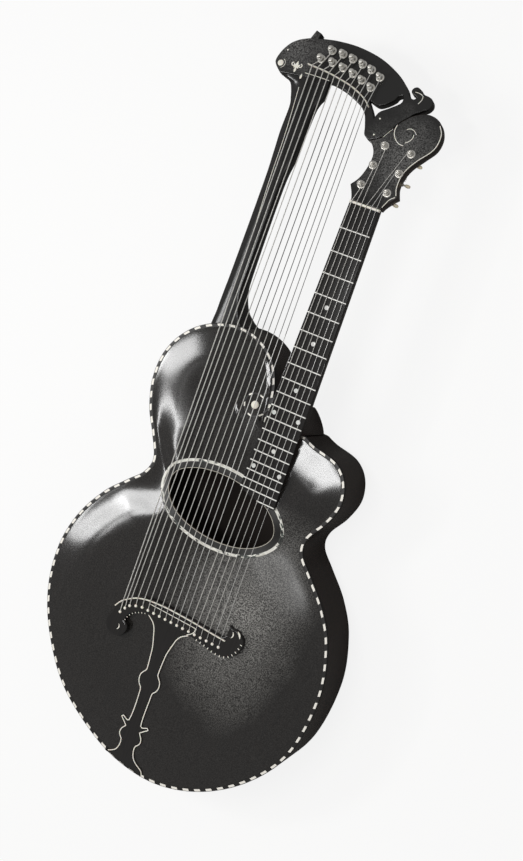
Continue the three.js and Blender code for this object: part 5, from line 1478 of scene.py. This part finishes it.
SADDLE = """
-0.468,-0.375 -0.447,-0.298 -0.414,-0.221 -0.344,-0.118 -0.281,-0.069 -0.214,-0.043 -0.099,-0.026
0.017,-0.028 0.135,-0.038 0.253,-0.054 0.372,-0.066
"""
BRIDGE_SIDES = [
    """-0.482,-0.47 -0.475,-0.36 -0.452,-0.26 -0.41,-0.185 -0.344,-0.085 -0.214,-0.012 -0.099,0.004
    0.017,0.002 0.135,-0.008 0.253,-0.024 0.34,-0.03""",
    "0.34,-0.03 0.362,0.03 0.365,0.183",
    """0.365,0.183 0.391,0.163 0.429,0.158 0.468,0.105 0.493,0.038 0.492,-0.077 0.468,-0.198
    0.425,-0.288 0.371,-0.325 0.311,-0.328 0.247,-0.311 0.196,-0.279 0.134,-0.269""",
    "-0.232,-0.269 -0.3,-0.305 -0.343,-0.381 -0.363,-0.45 -0.373,-0.531",
    """-0.373,-0.531 -0.347,-0.568 -0.332,-0.635 -0.345,-0.741 -0.381,-0.814 -0.435,-0.833
    -0.475,-0.792 -0.5,-0.719 -0.507,-0.627 -0.482,-0.47""",
]
BASS_PINS = "-0.418,-0.433 -0.393,-0.342 -0.365,-0.271 -0.321,-0.227"
PIN_SPACING = 11.2
PINS = 18
STRAP_LENGTH = 258.0
STRAP_ROOT = (-14.0, SADDLE_Y - 0.269 * BRIDGE_DEPTH - GAP)
STRAP_SIDE = [
    """0.145,0 0.105,0.026 0.08,0.06 0.064,0.11 0.046,0.18 0.04,0.24 0.035,0.32 0.039,0.345 0.063,0.38
    0.067,0.412 0.058,0.44 0.038,0.468 0.034,0.525 0.032,0.59 0.033,0.66 0.039,0.705""",
    "0.039,0.705 0.06,0.712 0.097,0.695",
    """0.097,0.695 0.062,0.725 0.047,0.745 0.069,0.78 0.07,0.81 0.048,0.84 0.047,0.885 0.064,0.93
    0.097,0.958 0.14,0.985 0.15,1.04""",
]
BRIDGE_LINE = shares("-53,-129.6 -40,-130 30,-131.1 34,-133 34,-137 30,-142.6 23.5,-147.6")
TICKS_LEFT = shares("-86.7,-173 -84,-166 -79,-159 -72.5,-154 -65,-150.5 -57,-148")
TICKS_RIGHT = shares("""
42,-147.5 50,-148.5 64,-151 76,-153.2 88,-153.4 99,-149.8 107,-142 112,-132 114.8,-121
""")


def bridge_points(text: str) -> Array:
    """Points on the bridge, in millimetres, from shares of its width and depth."""
    return shares(text, BRIDGE_WIDTH, BRIDGE_DEPTH, 0.0, SADDLE_Y)


def pin_places() -> Array:
    """Where the pins stand, bass side first: four on the lobe, the others in a straight row."""
    first = bridge_points(BASS_PINS)
    x = NECK_X + (np.arange(len(first), PINS) - PINS + 3.5) * PIN_SPACING
    return np.vstack([first, paired(x, first[-1, 1] + 2.8)])


@dataclass
class Bridge:
    """Bridge with its pins and inlay, the saddle and the tail strap."""

    finishes: Finishes
    outline: Outline
    pin_radius: float = 2.5
    inlay_rise: float = 0.12
    saddle_half: float = 1.0
    saddle_height: float = 2.7
    strap_thick: float = 2.6
    strap_line_inset: float = 1.9

    # The first crescent is an ivory inlay; the other two, on the right lobe, are painted highlights of its
    # carved curl.
    # Middle, radius, first and last angle, and width.
    MOONS = (((-99.0, -189.0), 6.5, -1.0, 1.0, 1.7), ((90.0, -113.0), 7.0, -0.9, 1.0, 2.0),
             ((96.0, -115.0), 13.0, 0.1, 1.1, 3.0))

    def build(self) -> None:
        """Makes the pieces on the soundboard."""
        self._bridge()
        self._saddle()
        self._strap()

    def _bridge(self) -> None:
        """Bridge: walls up from the soundboard, a rounded upper edge and a flat top, with pins, the inlaid
        line, the ticks and the crescents, two of which are painted highlights of the right lobe's curl."""
        loop = clean_loop(np.vstack([spline(bridge_points(side), 8) for side in BRIDGE_SIDES]))
        rings = [lifted(loop, self.outline.top_z(loop) - 0.2)]
        for depth, drop in ((0.0, 2.4), (0.35, 1.2), (1.2, 0.35), (2.4, 0.0)):
            rings.append(lifted(inset(loop, depth), BRIDGE_TOP_Z - drop))
        form = Form("bridge_wood").grid(np.stack(rings), around=True).sheet([rings[-1]])
        pin = lathe(np.vstack([(2.0, -0.3), (2.0, 0.5), dome(self.pin_radius, 1.9, 7) + (0.0, 0.9)]), 20)
        for place in pin_places():
            form.stud(pin + (*place, BRIDGE_TOP_Z), slot=1)
        line = even_curve(BRIDGE_LINE, 120)
        ribbon(form, line, 1.2, BRIDGE_TOP_Z, self.inlay_rise, slot=1)
        for dots, count, length, width in ((TICKS_LEFT, 8, 2.0, 1.0), (TICKS_RIGHT, 13, 3.4, 1.2)):
            curve = even_curve(dots, count)
            for place, way in zip(curve, leftwards(tangents(curve))):
                tick = place + way * length * np.array([[-0.5], [0.0], [0.5]])
                ribbon(form, tick, width, BRIDGE_TOP_Z, self.inlay_rise, slot=1)
        for moon in self.MOONS:
            self._moon(form, *moon)
        form.build([self.finishes.ebony, self.finishes.ivory], ROOT, ("bridge",), "ebony", 35)

    @staticmethod
    def _moon(form: Form, middle: tuple[float, float], radius: float, start: float, end: float,
              width: float) -> None:
        """A crescent of ivory on a lobe: the width follows a sine along an arc."""
        angle = np.linspace(start, end, 20)
        half = width / 2 * np.sin(np.pi * np.linspace(0, 1, 20))
        reach = radius + half[:, None] * np.array([-1.0, 0.0, 1.0])
        flat = middle + reach[..., None] * headings(angle)[:, None, :]
        height = np.broadcast_to(BRIDGE_TOP_Z + np.array([0.03, 0.14, 0.03]), reach.shape)
        form.grid(lifted(flat, height), slot=1)

    def _saddle(self) -> None:
        """Saddle: a curved ivory strip with a round top, let into the bridge."""
        half, shoulder = self.saddle_half, 1.9
        profile = rounded([(-half, -2.0), (-half, shoulder), (0.0, self.saddle_height), (half, shoulder),
                           (half, -2.0)])
        points = strip(even_curve(bridge_points(SADDLE), 120), BRIDGE_TOP_Z, profile)
        Form("saddle_strip").tube(points).build([self.finishes.ivory], ROOT, ("saddle",), "ivory")

    def _strap(self) -> None:
        """Tail strap: a thin dark leaf over the soundboard with an ivory line let in along its edge."""
        side = np.vstack([spline(shares(run, STRAP_LENGTH, -STRAP_LENGTH), 8) for run in STRAP_SIDE])
        right, left = side + STRAP_ROOT, side * (-1, 1) + STRAP_ROOT
        loop = clean_loop(self.outline.held(np.vstack([right, left[::-1]]), 1.006))
        rows = []
        for depth, height in ((0.0, 0.1), (0.0, 1.9), (0.5, 2.5), (1.1, self.strap_thick)):
            flat = inset(loop, depth)
            rows.append(lifted(flat, self.outline.top_z(flat) + height))
        form = Form("tail_strap_wood").grid(np.stack(rows), around=True)
        self._strap_face(form, right)
        for edge, sign in ((right, 1.0), (left, -1.0)):
            curve = resample(edge, max(60, int(run_length(edge)[-1] / 1.2)))
            line = curve + leftwards(tangents(curve)) * sign * self.strap_line_inset
            line = line[np.linalg.norm(self.outline.held(line, 1.012) - line, axis=1) < 0.01]
            ribbon(form, line, 1.5, self.outline.top_z(line) + self.strap_thick, 0.1, slot=1)
        form.build([self.finishes.ebony, self.finishes.ivory], ROOT, ("tail_strap",), "ebony")

    def _strap_face(self, form: Form, right: Array) -> None:
        """The strap's face: at each place along it, points straight across between its two sides."""
        y = np.linspace(STRAP_ROOT[1] - 0.4, right[:, 1].min() + 0.6, 260)
        order = np.argsort(right[:, 1])
        half = np.interp(y, right[order, 1], right[order, 0]) - STRAP_ROOT[0] - 1.0
        x = STRAP_ROOT[0] + half[:, None] * np.linspace(-1.0, 1.0, 9)
        flat = self.outline.held(paired(x, y[:, None]), 1.008)
        form.grid(lifted(flat, self.outline.top_z(flat) + self.strap_thick))


@dataclass
class Strings:
    """Twelve bass strings and six neck strings, each wound round its post."""

    finishes: Finishes
    bass_radii: tuple[float, float] = (0.9, 0.55)
    neck_radii: tuple[float, float] = (0.65, 0.35)
    bass_wound: int = 9
    neck_wound: int = 4
    peg_neck: tuple[float, float] = (2.5, 6.0)
    post_neck: tuple[float, float] = (3.0, 4.5)
    spread: float = 41.0
    over_fret: float = 0.8
    turns: int = 2
    turn_steps: int = 28
    turn_gap: float = 0.5
    sides: int = 10

    def build(self) -> None:
        """Makes every string from its pin to its post."""
        pins, pegs, places = pin_places(), peg_places(), tuner_places()
        nut = resample(spline(head_points(BASS_NUT), 40), 1001)
        for k, place in enumerate(pegs):
            share = k / (len(pegs) - 1)
            radius = self._between(self.bass_radii, share)
            over = nut[round(1000 * (0.07 + 0.9 * share))]
            crossing = from_head(np.array([*over, 5.0 + GAP + radius]))
            path = np.vstack([self._start(pins[k], radius), crossing,
                              self._coil(over, place, 1, *self.peg_neck, radius)])
            self._string(f"string_bass_{k + 1:02d}", path, radius, k < self.bass_wound)
        for k, (_, side, place) in enumerate(places[:3] + places[:2:-1]):
            share = k / (len(places) - 1)
            radius = self._between(self.neck_radii, share)
            x, z = NECK_X + (share - 0.5) * self.spread, FRET_TOP_Z + self.over_fret + GAP + radius
            crossings = np.array([(x, NUT_Y, z), (x, NUT_Y + NUT_DEPTH, z)])
            coil = self._coil(np.array([x, NUT_DEPTH]), place, -side, *self.post_neck, radius)
            path = np.vstack([self._start(pins[len(pegs) + k], radius), crossings, coil])
            self._string(f"string_neck_{k + 1}", path, radius, k < self.neck_wound)

    @staticmethod
    def _between(ends: tuple[float, float], share: float) -> float:
        """The value that lies a share of the way from the first end to the second."""
        return ends[0] - (ends[0] - ends[1]) * share

    @staticmethod
    def _start(pin: Array, radius: float) -> Array:
        """Where a string leaves the bridge in front of its pin, and where it crosses the saddle."""
        saddle = spline(bridge_points(SADDLE), 30)
        crossing = saddle[np.abs(saddle[:, 0] - pin[0]).argmin()]
        return np.array([(pin[0], pin[1] + 2.9, BRIDGE_TOP_Z + GAP + radius),
                         (pin[0], crossing[1], BRIDGE_TOP_Z + 2.5 + GAP + radius)])

    def _coil(self, start: Array, place: Array, side: int, post: float, rise: float,
              radius: float) -> Array:
        """Turns of string round a post: a helix that begins where the string touches it.

        Args:
            start: where the string comes from, in the head plane.
            place: the post's place in the head plane.
            side: 1 to wind counter-clockwise, -1 to wind clockwise.
            post: the post's radius.
            rise: the height of the first turn over the head.
            radius: the string's radius.

        Returns:
            The helix in the part frame, as far from the post as the solid's, whose section has seven
            sides.
        """
        reach = (post + GAP + radius) / math.cos(math.pi / 7)
        away = start - place
        first = math.atan2(away[1], away[0]) + side * math.acos(reach / np.linalg.norm(away))
        turn = np.linspace(0.0, self.turns, self.turns * self.turn_steps + 1)
        flat = place + reach * headings(first + side * 2 * np.pi * turn)
        return from_head(lifted(flat, rise + (2 * radius + self.turn_gap) * turn))

    def _string(self, node: str, path: Array, radius: float, is_wound: bool) -> None:
        """One string: a round wire, slightly thinner than the solid, with its distance kept for the
        winding."""
        points = wire(path, radius * 0.97, self.sides, np.array([0.0, 0.12, 1.0]))
        run = paired(run_length(path)[:, None], np.zeros((1, self.sides)))
        finish = self.finishes.wound if is_wound else self.finishes.steel
        slot = "wound_string" if is_wound else "steel_string"
        Form(f"{node}_wire").tube(points, run=run).build([finish], ROOT, (node,), slot, 60)


GEAR_TEETH = 14
PLATE_SHEET = 1.2
PLATE_FACE = -HEAD_THICK - GAP - PLATE_SHEET
GEAR_Z = PLATE_FACE - GAP - 3.7
WORM_DROP = 9.0
WORM_PITCH = 2 * math.pi * 6.0 / GEAR_TEETH
WORM_HALF = WORM_PITCH * 1.25


@dataclass
class Tuners:
    """The two worm-geared tuner sets on the back of the neck head."""

    finishes: Finishes
    plate_half: float = 7.0
    plate_overhang: float = 6.0
    plate_corner: float = 4.0
    bearing_radius: float = 3.35
    ear_half: float = 2.6
    ear_thick: float = 1.3
    bore_radius: float = 1.7
    slot_half: float = 0.5
    slot_floor: float = 9.2
    tooth_root: float = 4.97
    tooth_height: float = 1.7
    gear_half: float = 1.2
    thread_root: float = 1.85
    thread_turns: float = 0.93
    thread_fade: float = 0.12
    button_flat: float = 0.6

    def build(self) -> None:
        """Makes the plates, and for each string a post with its gear and a worm shaft with its button."""
        places = tuner_places()
        for title, row in (("bass", places[:3]), ("treble", places[3:])):
            self._plate(title, [place for _, _, place in row])
        for title, side, place in places:
            self._post(title, place)
            self._worm(title, side, place)

    def _plate(self, title: str, places: list[Array]) -> None:
        """Bearing plate with rounded corners, two ears for each worm, and a screw head at each end."""
        down = (places[-1] - places[0]) / np.linalg.norm(places[-1] - places[0])
        start = places[0] - down * (WORM_DROP + self.plate_overhang)
        end = places[-1] + down * self.plate_overhang
        side = leftwards(down) * self.plate_half
        corners = [start - side, end - side, end + side, start + side]
        bends = []
        for a, b, c in zip(corners[-1:] + corners, corners, corners[1:] + corners[:1]):
            before, after = ((p - b) / np.linalg.norm(p - b) * self.plate_corner for p in (a, c))
            bends.append(quadratic(b + before, b, b + after, 6))
        form = Form(f"tuner_plate_{title}_stamped")
        holes = [circle(self.bearing_radius, 28) + place for place in places]
        plate(form, clean_loop(np.vstack(bends)), holes, PLATE_FACE, PLATE_FACE + PLATE_SHEET, 0.25, soft=3)
        for place in places:
            for lean in (-1.0, 1.0):
                self._ear(form, place[0] + lean * (WORM_HALF + GAP + 0.7), place[1] - WORM_DROP)
        profile = np.array([(1.7, 0.1), (1.65, -0.25), (1.2, -0.6), (0.5, -0.75)])
        for place in (start + down * 3.2, end - down * 2.4):
            form.stud(from_head(lathe(profile, 20) + (*place, PLATE_FACE)))
        node = f"tuner_plate_{title}"
        form.build([self.finishes.nickel], ROOT, (node,), "nickel_plate", 35)

    def _ear(self, form: Form, x: float, y: float) -> None:
        """A bearing ear: a stirrup shape with a half-round end about the worm's bore."""
        half = self.ear_half
        arc = half * headings(np.linspace(-np.pi, 0.0, 15)) + (0.0, GEAR_Z)
        outer = np.vstack([(-half, PLATE_FACE + 0.3), arc, (half, PLATE_FACE + 0.3)])
        bore = circle(self.bore_radius, 20) + (0.0, GEAR_Z)
        walls = []
        for loop in (outer, bore):
            faces = [np.stack([np.full(len(loop), x + shift), y + loop[:, 0], loop[:, 1]], axis=1)
                     for shift in (-self.ear_thick / 2, self.ear_thick / 2)]
            walls.append(from_head(np.stack(faces)))
        for face in range(2):
            form.sheet([wall[face] for wall in walls])
        for wall in walls:
            form.grid(wall, around=True)

    def _post(self, title: str, place: Array) -> None:
        """String post: a waisted, slotted top, the shaft through the head, and the gear with its nut
        behind."""
        foot = GEAR_Z - 2.35
        profile = rounded([(2.0, foot), (2.9, foot), (2.9, 0.5), (2.9, 4.0), (2.55, 4.8), (2.55, 8.2),
                           (2.9, 9.0), (2.9, 10.4), (2.2, 10.9), (1.2, 10.95)], 3)
        post = lathe(profile, 36) + (*place, 0.0)
        slot = (np.abs(post[..., 1] - place[1]) < self.slot_half) & (post[..., 2] > self.slot_floor)
        post[..., 2] = np.where(slot, self.slot_floor, post[..., 2])
        post = from_head(post)
        form = Form(f"tuner_post_{title}_turned").grid(post, around=True).cap(post[0]).cap(post[-1])
        self._gear(form, place)
        node = f"tuner_post_{title}"
        form.build([self.finishes.nickel], node, (node,), "nickel_post", 30)

    def _gear(self, form: Form, place: Array) -> None:
        """The gear: teeth that rise straight from root to tip and are flat at both, a hub, and a gap that
        faces the worm. Its section is listed as shares of the reach with their heights."""
        share = np.linspace(0.0, 1.0, 16, endpoint=False)
        key = np.interp(share, [0.0, 0.25, 0.38, 0.62, 0.75, 1.0], [0.0, 0.0, 1.0, 1.0, 0.0, 0.0])
        turn = (np.arange(GEAR_TEETH)[:, None] + share).ravel() * 2 * np.pi / GEAR_TEETH
        reach = np.tile(self.tooth_root + self.tooth_height * key, GEAR_TEETH)
        rim = reach[:, None] * headings(turn - np.pi / 2)
        half, soft = self.gear_half, self.gear_half - 0.2
        section = ((0.45, 1.6), (0.6, half), (0.97, half), (1.0, soft), (1.0, -soft), (0.97, -half),
                   (0.45, -half))
        rings = [lifted(place + scale * rim, GEAR_Z + height) for scale, height in section]
        form.grid(from_head(np.stack(rings)), around=True)

    def _worm(self, title: str, side: int, place: Array) -> None:
        """Worm shaft: a core with a right-handed thread, and the button on its outer end.

        The thread is a tooth's section, in shares of the pitch and radii, carried along a helix whose height
        fades in smooth steps at both ends.
        """
        form = Form(f"tuner_worm_{title}_cut")
        end = -WORM_HALF - 2.5
        shaft = rounded([(0.01, end), (1.35, end), (1.35, -WORM_HALF), (1.9, 0.05 - WORM_HALF),
                         (1.9, WORM_HALF - 0.05), (1.35, WORM_HALF), (1.35, 9.0)], 2, 0.2)
        self._turned(form, lathe(shaft, 24), side, place)
        turn = np.linspace(-self.thread_turns, self.thread_turns, 90)[:, None]
        tooth = np.array([(-0.26, self.thread_root), (-0.12, 3.45), (-0.06, 3.65), (0.06, 3.65),
                          (0.12, 3.45), (0.26, self.thread_root)])
        fade = smoothstep((self.thread_turns - np.abs(turn)) / self.thread_fade)
        reach = self.thread_root + (tooth[:, 1] - self.thread_root) * fade
        round_axis = reach[..., None] * headings(2 * np.pi * turn)
        thread = np.concatenate([(WORM_PITCH * (turn + tooth[:, 0]))[..., None], round_axis], axis=-1)
        form.tube(from_head(thread + (place[0], place[1] - WORM_DROP, GEAR_Z)))
        knob = rounded([(0.01, 8.0), (1.8, 8.0), (2.6, 8.7), (3.9, 10.0), (4.35, 12.4), (4.3, 14.0),
                        (3.4, 16.0), (1.8, 16.8), (0.01, 16.95)])
        self._turned(form, lathe(knob, 32) * (1.0, self.button_flat, 1.0), side, place, 1)
        node = f"tuner_worm_{title}"
        form.build([self.finishes.nickel, self.finishes.button], node, (node,), "nickel_worm", 35)

    @staticmethod
    def _turned(form: Form, turned: Array, side: int, place: Array, slot: int = 0) -> None:
        """Adds a turned shape with its axis laid along the worm's, outwards to that side."""
        across, beside, along = np.moveaxis(turned, -1, 0)
        points = np.stack([place[0] + side * along, place[1] - WORM_DROP + beside, GEAR_Z + across], axis=-1)
        form.grid(from_head(points), around=True, slot=slot)


CAMERA_ROWS = (
    (0.854540, 0.339402, -0.393151),
    (-0.376028, 0.926443, -0.017535),
    (0.358281, 0.162820, 0.919307),
)


@dataclass
class Studio:
    """Camera as in the photo, soft lamps, floor and world. Places are in metres, lamps in watts."""

    camera_place: tuple[float, float, float] = (0.6783, 0.5005, 1.8141)
    lens: float = 49.64
    lamp_aim: tuple[float, float, float] = (0.0, 0.1, 0.1)
    floor_reach: float = 30.0
    floor_drop: float = 0.001
    floor_glow: float = 0.85
    ambient: float = 0.41

    # Name, place, size along its own two axes, turn about its own axis, and power.
    LAMPS = (
        ("key lamp", (-1.515, 0.167, 1.75), (0.3, 0.63), 0.75, 10.0),
        ("strip lamp", (-1.827, -0.25, 1.75), (0.85, 0.12), -0.12, 8.0),
        ("top lamp", (-0.11, 0.27, 1.75), (0.14, 0.66), 0.4, 7.5),
    )

    def build(self) -> None:
        """Sets up the stage."""
        self._camera()
        for lamp in self.LAMPS:
            self._lamp(*lamp)
        self._floor()
        self._world()

    def _camera(self) -> None:
        """Camera from the calibration: its rows are the image's right, up and back directions."""
        data = bpy.data.cameras.new("photo camera")
        data.lens, data.sensor_width, data.sensor_fit = self.lens, 36.0, "AUTO"
        data.clip_start, data.clip_end = 0.05, 20.0
        camera = bpy.data.objects.new("photo camera", data)
        turn = Matrix(CAMERA_ROWS).transposed().to_4x4()
        camera.matrix_world = Matrix.Translation(self.camera_place) @ turn
        bpy.context.scene.collection.objects.link(camera)
        bpy.context.scene.camera = camera

    def _lamp(self, name: str, place: tuple, sizes: tuple, roll: float, power: float) -> None:
        """A rectangular soft lamp that faces the body, turned about its own axis."""
        data = bpy.data.lights.new(name, "AREA")
        data.shape, data.size, data.size_y, data.energy = "RECTANGLE", *sizes, power
        lamp = bpy.data.objects.new(name, data)
        turn = (Vector(place) - Vector(self.lamp_aim)).to_track_quat("Z", "Y")
        lamp.location = place
        lamp.rotation_euler = (turn.to_matrix() @ Matrix.Rotation(roll, 3, "Z")).to_euler()
        bpy.context.scene.collection.objects.link(lamp)
        lamp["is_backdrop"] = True

    def _floor(self) -> None:
        """A wide pale floor that the back's crown stands on: to the camera it glows a little, so that it
        runs into the white ground with only a faint shadow; in the lacquer it shows as a grey floor."""
        mesh = bpy.data.meshes.new("floor")
        square = self.floor_reach * np.array([(-1, -1, 0), (1, -1, 0), (1, 1, 0), (-1, 1, 0)])
        mesh.from_pydata(square.tolist(), [], [(0, 1, 2, 3)])
        shader = Shader(FLOOR)
        path = shader.add("LightPath").node.outputs
        tone = shader.add("Mix RGBA", path["Is Glossy Ray"], FLOOR.colour, "#6d6c6a")
        shader.link(tone, "Base Color")
        seen = shader.add("Math MULTIPLY", path["Is Camera Ray"], self.floor_glow)
        glow = shader.add("Emission", "#ffffff")
        both = shader.add("MixShader", seen, shader.surface.outputs[0], glow)
        shader.tree.links.new(both, shader.tree.nodes["Material Output"].inputs["Surface"])
        mesh.materials.append(shader.material)
        floor = bpy.data.objects.new("floor", mesh)
        floor.location.z = -self.floor_drop
        bpy.context.scene.collection.objects.link(floor)
        floor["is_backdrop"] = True

    def _world(self) -> None:
        """Even ambient light, with a white ground for the camera alone."""
        world = bpy.data.worlds.new("studio")
        bpy.context.scene.world = world
        world.use_nodes = True
        tree = world.node_tree
        light, ground = tree.nodes["Background"], tree.nodes.new("ShaderNodeBackground")
        for background in (light, ground):
            background.inputs["Color"].default_value = linear("#ffffff")
        light.inputs["Strength"].default_value = self.ambient
        mixed, path = (tree.nodes.new(f"ShaderNode{kind}") for kind in ("MixShader", "LightPath"))
        sources = (path.outputs["Is Camera Ray"], light.outputs[0], ground.outputs[0])
        for source, socket in zip(sources, mixed.inputs):
            tree.links.new(source, socket)
        tree.links.new(mixed.outputs[0], tree.nodes["World Output"].inputs["Surface"])
        bpy.context.scene.view_settings.view_transform = "Standard"


def corners() -> list[list[float]]:
    """The shown object's lowest and highest corner as plain lists."""
    return [[float(value) for value in corner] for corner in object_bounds()]


def main() -> None:
    """Loads the frame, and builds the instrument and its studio."""
    logging.basicConfig(level=logging.INFO)
    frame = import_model()
    finishes, outline = Finishes(), Outline()
    for assembly in (Body, Neck, HarpSide, Bridge):
        assembly(finishes, outline).build()
    Strings(finishes).build()
    Tuners(finishes).build()
    for name in ("neck_block", "tail_block"):
        frame["nodes"][name].data.materials.clear()
        frame["nodes"][name].data.materials.append(finishes.cedar)
    Studio().build()


if __name__ == "__main__":
    main()
